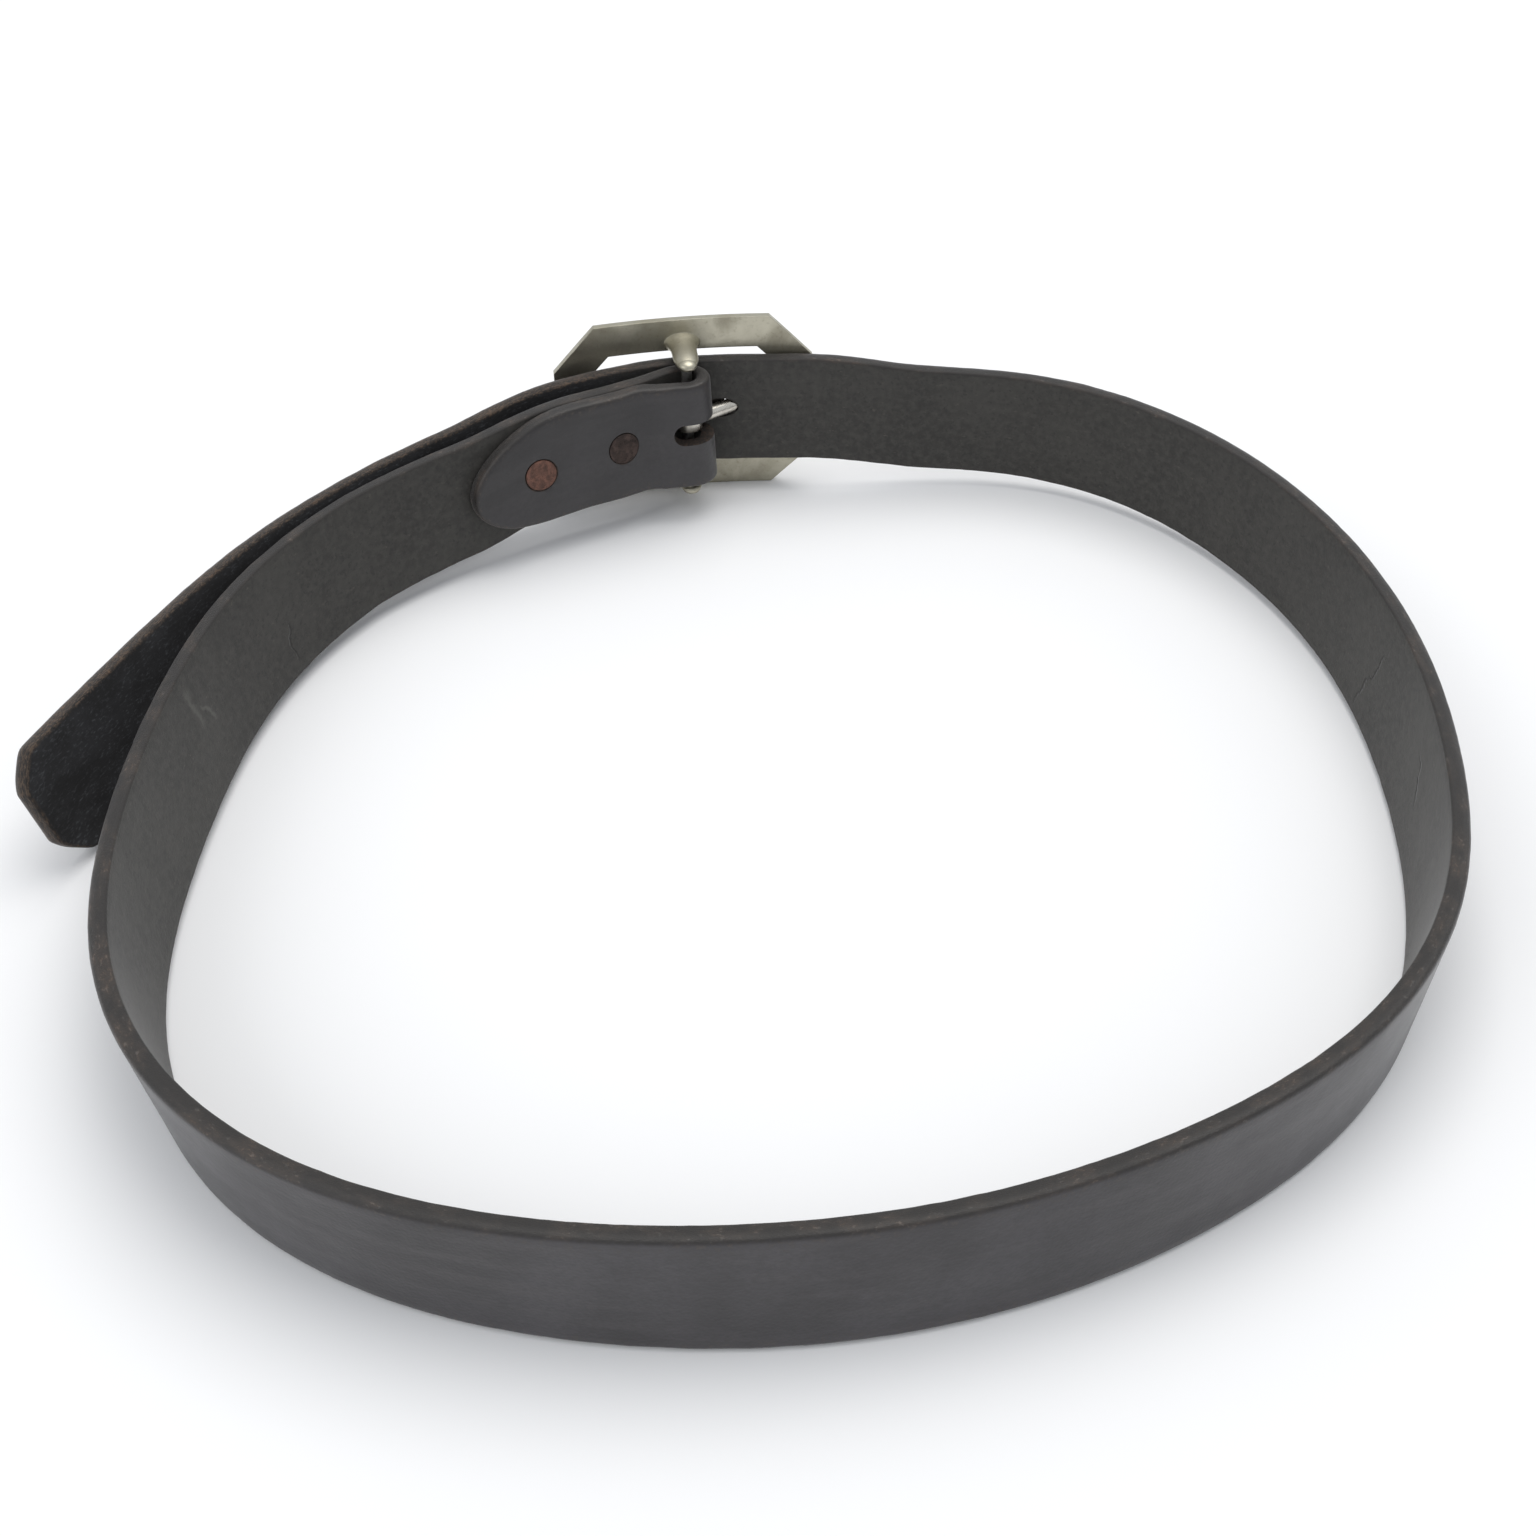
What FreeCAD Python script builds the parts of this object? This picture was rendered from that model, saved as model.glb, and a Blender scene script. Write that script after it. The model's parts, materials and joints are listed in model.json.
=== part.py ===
import FreeCAD, Part
import math
import os

from FreeCAD import Matrix, Vector

# A leather belt standing on its lower edge, buckled into a loop.
# Millimetres and degrees, +Z up. The origin is under the middle of the belt, on the ground.
# The loop is drawn from its own centre first and everything is moved to the origin at the end.

# ---------------------------------------------------------------- driving dimensions
STRAP_WIDTH = 35.0
STRAP_THICKNESS = 4.8
FOLD_THICKNESS = 4.0          # leather skived down where it folds round the bar
SKIVE_END = 14.0              # distance from the bar where full thickness is back
LAYER_GAP = 0.25              # air between the overlapping layers
FLAP_GAP = 0.12               # air between the flap and the leaf it is riveted to

# Middle line of the strap seen from above: loop radii at equal angles, from +X, anticlockwise.
LOOP_RADII = (161.5, 168.0, 175.0, 169.5, 151.5, 148.5, 152.0, 157.0,
              160.0, 172.0, 178.0, 166.5, 156.5, 154.0, 158.5, 162.0)

# Outward lean of the strap: mean, back-to-front part, side-to-side part, twice-round part.
LEAN_MEAN = 5.0
LEAN_BACK = 3.5
LEAN_LEFT = 3.7
LEAN_SIDES = 6.5

BUCKLE_ANGLE = 103.0          # where the bar stands round the loop
BUCKLE_YAW = 8.0
BUCKLE_LEAN = 3.0
BAR_X = -32.6
BAR_Y = 143.8
LIFT = 13.0                   # the tall buckle lifts the strap off the ground
LIFT_SPREAD = 28.0            # degrees of the loop over which half the lift is gone
BUCKLE_HOLD = 12.0            # degrees each side of the bar that follow the buckle exactly
BUCKLE_FADE = 16.0            # further degrees over which the strap returns to the loop

# Inner face of the outer layer, measured outward from the loop's middle line.
# It dips behind the frame, rides over the bar, lies on the inner layer and then flares out.
OUTER_LAYER = ((380.0, -2.4), (405.0, -2.6), (425.0, -3.6), (440.0, -4.0), (452.0, 1.1),
               (463.0, 6.0), (474.0, 4.7), (486.0, 2.7), (498.0, 3.3), (508.0, 4.6),
               (520.0, 7.2), (534.0, 14.8), (548.0, 28.2))
FULL_TURN = 360.0
OUTER_START = 385.0           # loop angle where the strap starts to leave the middle line
TIP_ANGLE = 548.0
INNER_SETTLED = 145.0         # loop angle from which the inner layer is the middle line again

# Outer face of the inner layer near the buckle, measured the same way. Past the fold it dips
# inward and leaves a gap under the outer layer.
INNER_LAYER = ((97.0, 5.3), (101.0, 5.7), (104.0, 5.15), (108.0, 1.9), (113.0, -0.9),
               (120.0, -1.9), (128.0, -1.5), (137.0, 0.5), (145.0, 2.4))

FOLD_RADIUS = 3.9             # inside of the fold
FOLD_U = -0.3                 # centre of the fold along the buckle, from the bar
FOLD_Y = -1.95                # centre of the fold outward, from the bar
STRAP_ROLL = 2.5              # degrees the strap hangs down in its own plane at the bar
ROLL_REACH = 70.0             # this far from the bar the strap stands straight again
FLAP_REACH = 71.0             # flap end, measured from the bar along the buckle
FLAP_ROUND = 34.0             # length of the flap's rounded end
FLAP_CLOSE = 24.0             # distance from the bar where flap and leaf meet
FLAP_NOSE = 0.3               # the rounded end is cut off square this far in
TIP_CLIP = 9.5                # both corners of the tip are clipped at 45 degrees

HOLE_DIAMETER = 5.6
HOLE_SPACING = 25.0
SPARE_HOLES = 4
USED_HOLE_DIAMETER = 6.4      # stretched open along the prong
USED_HOLE_TURN = 2.0          # degrees the stretched hole is turned outward of the prong
USED_HOLE_START = 5.5         # from the bar's axis, just clear of the prong's eye
USED_HOLE_REACH = 24.0
SLOT_WIDTH = 7.0
SLOT_REACH = 1.9              # the slot runs this far behind the bar before its round end

FRAME_WIDTH = 80.0
FRAME_HEIGHT = 58.0
FRAME_THICKNESS = 3.0
FRAME_CORNER = 13.0
FRAME_BEND = 200.0            # radius of the frame's curve round the body
FRAME_BACK = 11.5             # from the bar's axis to the back of the frame
FRAME_BEVEL = 0.8
RAIL_WIDTH = 10.0
WINDOW_CORNER = 7.0

LUG_HEIGHT = 21.3             # lug axis above and below the bar's middle
LUG_REACH = 6.0               # how far the lug's nose passes the bar's axis
LUG_BASE = 5.6
LUG_NECK = 4.6
LUG_MIDDLE = 3.9
LUG_NOSE = 2.9
LUG_FLATNESS = 0.6            # lugs are this much thinner up and down than along the belt
BAR_DIAMETER = 3.2
BAR_TOP = 22.4
BAR_BOTTOM = 22.9

PRONG_DIAMETER = 4.4
PRONG_W = 1.0                 # the prong rides this far above the bar's middle
PRONG_EYE_INSIDE = 1.75
PRONG_EYE_OUTSIDE = 4.3
PRONG_BEND_U = 29.5           # the prong bends here to lie down on the rail
PRONG_BEND_Y = 15.0
PRONG_TIP_U = 38.5
PRONG_TIP_Y = 13.6
PRONG_CORNER = 6.0

RIVET_FOLD_U = -24.0          # rivet stations, measured from the bar along the buckle
RIVET_FLAP_U = -50.0
RIVET_HEAD = 9.8
RIVET_HEAD_HEIGHT = 0.95
RIVET_HEAD_SEAT = 1.0
RIVET_SHANK = 3.4
BURR_DIAMETER = 8.0
BURR_HEIGHT = 1.0
BURR_SEAT = 1.6
PEEN_DIAMETER = 5.0
PEEN_HEIGHT = 0.4
FIT_GAP = 0.1                 # diametral play of rivet parts in the leather
LEAF_START = 4.5              # first station of the leaf, past the end of the fold
CUT_SPARE = 2.0               # how far a cutter runs past the face it opens
SLOT_CLEAR = 0.1              # the slot's cutter stops this far outside the fold
SLOT_OPEN = 0.4               # and this far past its bend

# How closely the strap's long edges are sampled.
FLAP_END_STATIONS = 14
FLAP_STATION_STEP = 3.0       # millimetres
FOLD_STATIONS = 12
NEAR_STATION_STEP = 1.2       # degrees, near the buckle
LOOP_STATION_STEP = 2.5       # degrees, round the rest of the loop
OUTER_STATIONS = 110
WALK_STEP = 0.1               # degrees, when measuring along the strap


# ---------------------------------------------------------------- small maths
def ease(x):
    """Smooth step from 0 to 1."""
    x = min(max(x, 0.0), 1.0)
    return x * x * (3.0 - 2.0 * x)


def natural_spline(knots):
    """Second derivatives of the smooth curve through (x, y) knots."""
    n = len(knots)
    bend = [0.0] * n
    upper = [0.0] * n
    for i in range(1, n - 1):
        (x0, y0), (x1, y1), (x2, y2) = knots[i - 1], knots[i], knots[i + 1]
        share = (x1 - x0) / (x2 - x0)
        pivot = share * bend[i - 1] + 2.0
        bend[i] = (share - 1.0) / pivot
        slope = (y2 - y1) / (x2 - x1) - (y1 - y0) / (x1 - x0)
        upper[i] = (6.0 * slope / (x2 - x0) - share * upper[i - 1]) / pivot
    second = [0.0] * n
    for i in range(n - 2, 0, -1):
        second[i] = bend[i] * second[i + 1] + upper[i]
    return second


def on_spline(knots, second, x):
    """Height of the smooth curve through the knots at x."""
    i = 0
    while i < len(knots) - 2 and knots[i + 1][0] < x:
        i += 1
    (x0, y0), (x1, y1) = knots[i], knots[i + 1]
    h = x1 - x0
    a = (x1 - x) / h
    b = (x - x0) / h
    curve = (a ** 3 - a) * second[i] + (b ** 3 - b) * second[i + 1]
    return a * y0 + b * y1 + curve * h * h / 6.0


OUTER_BEND = natural_spline(OUTER_LAYER)
INNER_BEND = natural_spline(INNER_LAYER)


# ---------------------------------------------------------------- the loop
def loop_radius(angle):
    """Smooth periodic curve through the loop radii."""
    count = len(LOOP_RADII)
    total = 0.0
    for i, radius in enumerate(LOOP_RADII):
        half = (math.radians(angle) - 2.0 * math.pi * i / count) / 2.0
        wave = math.sin(half)
        weight = 1.0
        if abs(wave) > 1e-9:
            weight = math.sin(count * half) * math.cos(half) / (count * wave)
        total += radius * weight
    return total


def loop_point(angle):
    radius = loop_radius(angle)
    turn = math.radians(angle)
    return Vector(radius * math.cos(turn), radius * math.sin(turn), 0)


def loop_outward(angle):
    """Level direction pointing out of the loop."""
    step = 0.5
    along = loop_point(angle + step) - loop_point(angle - step)
    along.normalize()
    return Vector(along.y, -along.x, 0)


def lean(angle):
    turn = math.radians(angle)
    return (LEAN_MEAN + LEAN_BACK * math.sin(turn) - LEAN_LEFT * math.cos(turn)
            + LEAN_SIDES * math.cos(2.0 * turn))


def from_buckle(angle):
    """Degrees round the loop to the bar, either way."""
    return abs((angle - BUCKLE_ANGLE + 180.0) % FULL_TURN - 180.0)


# ---------------------------------------------------------------- the buckle's own axes
# along: with the belt, to the wearer's front right. out: away from the wearer. up: the bar.
def buckle_axes():
    yaw = math.radians(BUCKLE_YAW)
    tilt = math.radians(BUCKLE_LEAN)
    along = Vector(math.cos(yaw), math.sin(yaw), 0)
    level_out = Vector(-math.sin(yaw), math.cos(yaw), 0)
    up = Vector(0, 0, math.cos(tilt)) + level_out * math.sin(tilt)
    return along, up.cross(along), up


ALONG, OUT, UP = buckle_axes()
# The frame stands on its lower edge, so the bar's height follows from the frame.
BAR_Z = (FRAME_HEIGHT / 2.0 * math.cos(math.radians(BUCKLE_LEAN))
         + (FRAME_BACK + FRAME_THICKNESS) * math.sin(math.radians(BUCKLE_LEAN)))
BAR = Vector(BAR_X, BAR_Y, BAR_Z)


def buckle_point(u, y, w=0.0):
    return BAR + ALONG * u + OUT * y + UP * w


def place_on_buckle(shape):
    """Move a shape drawn with X along, Y out, Z up at the bar to its place."""
    placed = Matrix(ALONG.x, OUT.x, UP.x, BAR.x,
                    ALONG.y, OUT.y, UP.y, BAR.y,
                    ALONG.z, OUT.z, UP.z, BAR.z,
                    0, 0, 0, 1)
    moved = shape.copy()
    moved.Placement = FreeCAD.Placement(placed).multiply(moved.Placement)
    return moved


# ---------------------------------------------------------------- stations of the strap
# A station is (middle point, up direction of the strap's width, thickness, half width).
def hold(angle):
    """1 where the strap follows the buckle, 0 where it follows the loop."""
    return 1.0 - ease((from_buckle(angle) - BUCKLE_HOLD) / BUCKLE_FADE)


def strap_up(angle):
    tilt = math.radians(lean(angle))
    up = Vector(0, 0, math.cos(tilt)) + loop_outward(angle) * math.sin(tilt)
    up = up * (1.0 - hold(angle)) + UP * hold(angle)
    return up.normalize()


def strap_middle(angle, offset):
    """Mid-width, mid-thickness point of the strap, offset outward from the loop."""
    tilt = math.radians(lean(angle))
    lift = LIFT / (1.0 + (from_buckle(angle) / LIFT_SPREAD) ** 2)
    free = (STRAP_WIDTH * math.cos(tilt) + STRAP_THICKNESS * abs(math.sin(tilt))) / 2.0 + lift
    point = loop_point(angle) + loop_outward(angle) * offset
    out = (point - BAR).dot(OUT)
    held = BAR_Z + OUT.z * out
    point.z = free * (1.0 - hold(angle)) + held * hold(angle)
    return point


def outer_face(angle):
    """Offset of the outer layer's inner face."""
    if angle < OUTER_START:
        return -STRAP_THICKNESS / 2.0
    return on_spline(OUTER_LAYER, OUTER_BEND, angle)


def leaf_face(angle):
    """Offset of the inner layer's outer face."""
    if angle > INNER_SETTLED:
        return STRAP_THICKNESS / 2.0
    return on_spline(INNER_LAYER, INNER_BEND, angle)


def along_buckle(angle):
    """Distance from the bar along the buckle of a place on the inner layer."""
    point = strap_middle(angle, leaf_face(angle))
    return (point - BAR).dot(ALONG)


def angle_at(u):
    """Loop angle of the inner layer at distance u along the buckle."""
    low, high = BUCKLE_ANGLE - 15.0, BUCKLE_ANGLE + 45.0
    for _ in range(50):
        middle = (low + high) / 2.0
        if along_buckle(middle) > u:
            low = middle
        else:
            high = middle
    return low


def leaf_thickness(u):
    return FOLD_THICKNESS + (STRAP_THICKNESS - FOLD_THICKNESS) * ease(-u / SKIVE_END)


def rolled(up, u):
    """Up direction turned in the strap's plane, as the strap hangs from the bar."""
    turn = math.radians(STRAP_ROLL) * (1.0 - ease(-u / ROLL_REACH))
    return (up * math.cos(turn) - ALONG * math.sin(turn)).normalize()


def leaf_station(angle):
    if angle > INNER_SETTLED:
        return strap_middle(angle, 0.0), strap_up(angle), STRAP_THICKNESS
    u = along_buckle(angle)
    thick = leaf_thickness(u)
    point = strap_middle(angle, leaf_face(angle) - thick / 2.0)
    return point, rolled(strap_up(angle), u), thick


def flap_station(u):
    """The flap lies on the leaf beyond FLAP_CLOSE and runs straight to the fold before it."""
    angle = angle_at(u)
    leaf, up, thick = leaf_station(angle)
    ahead = leaf_station(angle + 0.5)[0] - leaf_station(angle - 0.5)[0]
    lying = leaf - ahead.cross(up).normalize() * (thick + FLAP_GAP)
    free = buckle_point(u, FOLD_Y - FOLD_RADIUS - FOLD_THICKNESS / 2.0)
    share = ease((-u - FLAP_CLOSE / 3.0) / (FLAP_CLOSE / 1.5))
    return free * (1.0 - share) + lying * share, up, thick


def flap_half_width(from_end):
    """Elliptical end of the flap."""
    if from_end >= FLAP_ROUND:
        return STRAP_WIDTH / 2.0
    x = 1.0 - from_end / FLAP_ROUND
    return STRAP_WIDTH / 2.0 * math.sqrt(1.0 - x * x)


def flap_stations():
    stations = []
    for i in range(FLAP_END_STATIONS):
        share = (i / FLAP_END_STATIONS) ** 2
        from_end = FLAP_NOSE + (FLAP_ROUND - FLAP_NOSE) * share
        point, up, thick = flap_station(from_end - FLAP_REACH)
        stations.append((point, up, thick, flap_half_width(from_end)))
    u = FLAP_ROUND - FLAP_REACH
    while u < FOLD_U - FLAP_STATION_STEP / 2.0:
        point, up, thick = flap_station(u)
        stations.append((point, up, thick, STRAP_WIDTH / 2.0))
        u += FLAP_STATION_STEP
    return stations


def fold_stations():
    stations = []
    radius = FOLD_RADIUS + FOLD_THICKNESS / 2.0
    for i in range(FOLD_STATIONS + 1):
        turn = math.radians(-90.0 + 180.0 * i / FOLD_STATIONS)
        point = buckle_point(FOLD_U + radius * math.cos(turn), FOLD_Y + radius * math.sin(turn))
        stations.append((point, rolled(UP, 0.0), FOLD_THICKNESS, STRAP_WIDTH / 2.0))
    return stations


def leaf_stations():
    """From just past the fold, once round the loop, to just before the outer layer."""
    stations = []
    angle = angle_at(FOLD_U - LEAF_START)
    while angle < OUTER_START:
        point, up, thick = leaf_station(angle)
        stations.append((point, up, thick, STRAP_WIDTH / 2.0))
        angle += NEAR_STATION_STEP if angle < INNER_SETTLED else LOOP_STATION_STEP
    return stations


def outer_stations():
    stations = []
    for i in range(1, OUTER_STATIONS + 1):
        angle = OUTER_START + (TIP_ANGLE - OUTER_START) * i / OUTER_STATIONS
        offset = outer_face(angle) + STRAP_THICKNESS / 2.0
        point = strap_middle(angle, offset)
        stations.append((point, strap_up(angle), STRAP_THICKNESS, STRAP_WIDTH / 2.0))
    return stations


def strap_stations():
    return flap_stations() + fold_stations() + leaf_stations() + outer_stations()


def outward_directions(stations):
    """Direction through the thickness at each station, away from the travel side."""
    result = []
    last = len(stations) - 1
    for i in range(len(stations)):
        here, up = stations[i][:2]
        ahead = stations[min(i + 1, last)][0] - here
        behind = here - stations[max(i - 1, 0)][0]
        travel = ahead * behind.Length ** 2 + behind * ahead.Length ** 2
        if i in (0, last):
            travel = ahead + behind
        result.append(travel.cross(up).normalize())
    return result


# ---------------------------------------------------------------- strap
def distances(stations):
    """Distance travelled to each station, so that all four edges run in step."""
    result = [0.0]
    for before, here in zip(stations, stations[1:]):
        result.append(result[-1] + (here[0] - before[0]).Length)
    return result


def long_edge(stations, outward, side, height):
    """One of the four long edges, as a smooth curve through the stations."""
    points = []
    for (point, up, thick, half), out in zip(stations, outward):
        points.append(point + out * (side * thick / 2.0) + up * (height * half))
    curve = Part.BSplineCurve()
    curve.interpolate(Points=points, Parameters=distances(stations))
    return curve.toShape()


def end_face(edges, last):
    """Flat face closing one end of the strap."""
    corners = [edge.Vertexes[-1 if last else 0].Point for edge in edges]
    return Part.Face(Part.makePolygon(corners + [corners[0]]))


def strap_blank(stations):
    outward = outward_directions(stations)
    places = ((-1, -1), (-1, 1), (1, 1), (1, -1))
    edges = [long_edge(stations, outward, side, height) for side, height in places]
    faces = [Part.makeRuledSurface(edges[i], edges[(i + 1) % 4]) for i in range(4)]
    faces += [end_face(edges, False), end_face(edges, True)]
    shell = Part.makeShell(faces)
    shell.sewShape()
    solid = Part.Solid(shell.Shells[0])
    if solid.Volume < 0:
        solid.reverse()
    return solid


def through_cylinder(centre, axis, diameter, depth):
    """Cylinder of the given depth centred on a point."""
    return Part.makeCylinder(diameter / 2.0, depth, centre - axis * (depth / 2.0), axis)


def tip_clips():
    """Two wedges that take the corners off the tip."""
    angle = TIP_ANGLE
    middle = strap_middle(angle, outer_face(angle) + STRAP_THICKNESS / 2.0)
    before = strap_middle(angle - 1.0, outer_face(angle - 1.0) + STRAP_THICKNESS / 2.0)
    up = strap_up(angle)
    ahead = (middle - before).normalize()
    out = ahead.cross(up).normalize()
    clips = []
    for side in (-1, 1):
        corner = middle + up * (side * STRAP_WIDTH / 2.0) - out * STRAP_THICKNESS
        back = corner - ahead * (TIP_CLIP + CUT_SPARE) + up * (side * CUT_SPARE)
        down = corner + ahead * CUT_SPARE - up * (side * (TIP_CLIP + CUT_SPARE))
        beyond = corner + ahead * CUT_SPARE + up * (side * CUT_SPARE)
        wedge = Part.Face(Part.makePolygon([back, down, beyond, back]))
        clips.append(wedge.extrude(out * (2.0 * STRAP_THICKNESS)))
    return clips


def used_hole():
    """The hole in use follows the prong, stretched outward so that the buckle can swing."""
    turn = math.atan2(PRONG_BEND_Y, PRONG_BEND_U) + math.radians(USED_HOLE_TURN)
    axis = ALONG * math.cos(turn) + OUT * math.sin(turn)
    start = buckle_point(0, 0, PRONG_W) + axis * USED_HOLE_START
    return Part.makeCylinder(USED_HOLE_DIAMETER / 2.0, USED_HOLE_REACH, start, axis)


def used_hole_angle():
    """Loop angle where the prong crosses the middle of the outer layer."""
    angle = BUCKLE_ANGLE + FULL_TURN
    rise = PRONG_BEND_Y / PRONG_BEND_U
    while True:
        point = strap_middle(angle, outer_face(angle) + STRAP_THICKNESS / 2.0) - BAR
        if point.dot(OUT) < point.dot(ALONG) * rise:
            return angle
        angle -= WALK_STEP


def spare_holes():
    """Evenly spaced adjustment holes between the hole in use and the tip."""
    cutters = []
    angle = used_hole_angle()
    travelled = 0.0
    here = strap_middle(angle, outer_face(angle) + STRAP_THICKNESS / 2.0)
    while len(cutters) < SPARE_HOLES:
        angle += WALK_STEP
        there = strap_middle(angle, outer_face(angle) + STRAP_THICKNESS / 2.0)
        travelled += (there - here).Length
        if travelled >= HOLE_SPACING:
            travelled -= HOLE_SPACING
            out = (there - here).cross(strap_up(angle)).normalize()
            depth = STRAP_THICKNESS + LAYER_GAP
            cutters.append(through_cylinder(there, out, HOLE_DIAMETER, depth))
        here = there
    return cutters


def prong_slot():
    """Opening in the fold for the prong's eye and shank, round at its closed end."""
    reach = FOLD_RADIUS + FOLD_THICKNESS
    inside = FOLD_Y - reach - CUT_SPARE
    outside = FOLD_Y + reach + SLOT_CLEAR
    half = SLOT_WIDTH / 2.0
    corner = Vector(-SLOT_REACH, inside, PRONG_W - half)
    length = SLOT_REACH + FOLD_U + reach + SLOT_OPEN
    open_side = Part.makeBox(length, outside - inside, SLOT_WIDTH, corner)
    round_end = Part.makeCylinder(half, outside - inside, Vector(-SLOT_REACH, inside, PRONG_W),
                                  Vector(0, 1, 0))
    return place_on_buckle(open_side.fuse(round_end))


def rivet_axis(u):
    """Point on the flap's inner face and the direction through both layers."""
    ahead = flap_station(u + 1.0)[0]
    here, up, thick = flap_station(u)
    out = (ahead - here).cross(up).normalize()
    if out.dot(OUT) < 0:
        out = out * -1.0
    return here - out * (thick / 2.0), out


def rivet_depth(u):
    """Distance through flap and leaf along the rivet."""
    start, out = rivet_axis(u)
    point, _, thick = leaf_station(angle_at(u))
    return (point - start).dot(out) + thick / 2.0


def rivet_seats(u):
    """Bore through both layers, with a seat for the head and one for the burr."""
    start, out = rivet_axis(u)
    depth = rivet_depth(u)
    spare = LAYER_GAP / 2.0
    bore = Part.makeCylinder((RIVET_SHANK + FIT_GAP) / 2.0, depth - (RIVET_HEAD_SEAT + BURR_SEAT) / 2.0,
                             start + out * (RIVET_HEAD_SEAT / 2.0), out)
    head = Part.makeCylinder((RIVET_HEAD + FIT_GAP) / 2.0, RIVET_HEAD_SEAT + CUT_SPARE,
                             start - out * CUT_SPARE, out)
    burr = Part.makeCylinder((BURR_DIAMETER + FIT_GAP) / 2.0, BURR_SEAT + spare,
                             start + out * (depth - BURR_SEAT), out)
    return bore.fuse([head, burr])


def make_strap():
    strap = strap_blank(strap_stations())
    cutters = tip_clips() + [used_hole(), prong_slot()] + spare_holes()
    for u in (RIVET_FOLD_U, RIVET_FLAP_U):
        cutters.append(rivet_seats(u))
    return strap.cut(cutters)


# ---------------------------------------------------------------- rivets and burrs
def make_rivet(u):
    """Flat head on the flap, shank through both layers, peened over the burr."""
    start, out = rivet_axis(u)
    depth = rivet_depth(u)
    head_start = start + out * (RIVET_HEAD_SEAT - RIVET_HEAD_HEIGHT)
    burr_top = depth - BURR_SEAT + BURR_HEIGHT
    head = Part.makeCylinder(RIVET_HEAD / 2.0, RIVET_HEAD_HEIGHT, head_start, out)
    shank = Part.makeCylinder(RIVET_SHANK / 2.0, burr_top - RIVET_HEAD_SEAT + 0.05,
                              start + out * (RIVET_HEAD_SEAT - 0.05), out)
    peen = Part.makeCone(PEEN_DIAMETER / 2.0, RIVET_SHANK / 2.0, PEEN_HEIGHT,
                         start + out * burr_top, out)
    return head.fuse([shank, peen]).removeSplitter()


def make_burr(u):
    """Washer under the peened end, sunk in the leaf's outer face."""
    start, out = rivet_axis(u)
    base = start + out * (rivet_depth(u) - BURR_SEAT)
    disc = Part.makeCylinder(BURR_DIAMETER / 2.0, BURR_HEIGHT, base, out)
    bore = Part.makeCylinder((RIVET_SHANK + FIT_GAP) / 2.0, BURR_HEIGHT, base, out)
    return disc.cut(bore)


# ---------------------------------------------------------------- buckle frame
def octagon(width, height, corner):
    """Upright octagon in the XZ plane, centred on the origin."""
    a = width / 2.0
    b = height / 2.0
    outline = ((-a, -b + corner), (-a, b - corner), (-a + corner, b), (a - corner, b),
               (a, b - corner), (a, -b + corner), (a - corner, -b), (-a + corner, -b))
    points = [Vector(x, 0, z) for x, z in outline]
    return Part.Face(Part.makePolygon(points + [points[0]]))


def bent_slab(back, front):
    """Slab between two upright cylinders, its ends curving towards the wearer."""
    tall = 2.0 * FRAME_HEIGHT
    outer = Part.makeCylinder(FRAME_BEND + front - back, tall)
    inner = Part.makeCylinder(FRAME_BEND, tall)
    slab = outer.cut(inner)
    slab.translate(Vector(0, back - FRAME_BEND, -tall / 2.0))
    return slab


def frame_plate():
    deep = 2.0 * STRAP_WIDTH
    outline = octagon(FRAME_WIDTH, FRAME_HEIGHT, FRAME_CORNER)
    window = octagon(FRAME_WIDTH - 2.0 * RAIL_WIDTH, FRAME_HEIGHT - 2.0 * RAIL_WIDTH,
                     WINDOW_CORNER)
    ring = outline.extrude(Vector(0, deep, 0)).cut(window.extrude(Vector(0, deep, 0)))
    plate = ring.common(bent_slab(FRAME_BACK, FRAME_BACK + FRAME_THICKNESS))
    front = [edge for edge in plate.Edges if on_front_rim(edge)]
    return plate.makeChamfer(FRAME_BEVEL, front)


def on_front_rim(edge):
    """True for an edge lying wholly on the frame's front face."""
    radius = FRAME_BEND + FRAME_THICKNESS
    for point in edge.discretize(5):
        away = math.hypot(point.x, point.y - FRAME_BACK + FRAME_BEND)
        if abs(away - radius) > 0.01:
            return False
    return True


def lug(side):
    """Tapered lug: a turned profile with a flared base and a round nose, pressed flatter."""
    base_y = FRAME_BACK + FRAME_THICKNESS / 3.0
    nose_y = -LUG_REACH + LUG_NOSE
    profile = [Vector(0, base_y, 0), Vector(LUG_BASE, base_y, 0),
               Vector(LUG_BASE, FRAME_BACK - 0.2, 0)]
    flare = Part.BSplineCurve()
    flare.interpolate([profile[-1], Vector(LUG_NECK, FRAME_BACK - 2.0, 0),
                       Vector(LUG_MIDDLE, FRAME_BACK / 3.0, 0), Vector(LUG_NOSE, nose_y, 0)])
    halfway = LUG_NOSE * math.sin(math.pi / 4.0)
    nose = Part.Arc(Vector(LUG_NOSE, nose_y, 0), Vector(halfway, nose_y - halfway, 0),
                    Vector(0, nose_y - LUG_NOSE, 0))
    edges = [Part.makeLine(profile[0], profile[1]), Part.makeLine(profile[1], profile[2]),
             flare.toShape(), nose.toShape(),
             Part.makeLine(Vector(0, nose_y - LUG_NOSE, 0), profile[0])]
    turned = Part.Face(Part.Wire(edges)).revolve(Vector(0, 0, 0), Vector(0, 1, 0), 360)
    flatten = Matrix()
    flatten.scale(1, 1, LUG_FLATNESS)
    solid = turned.transformGeometry(flatten)
    solid.translate(Vector(0, 0, side * LUG_HEIGHT))
    return solid


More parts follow.
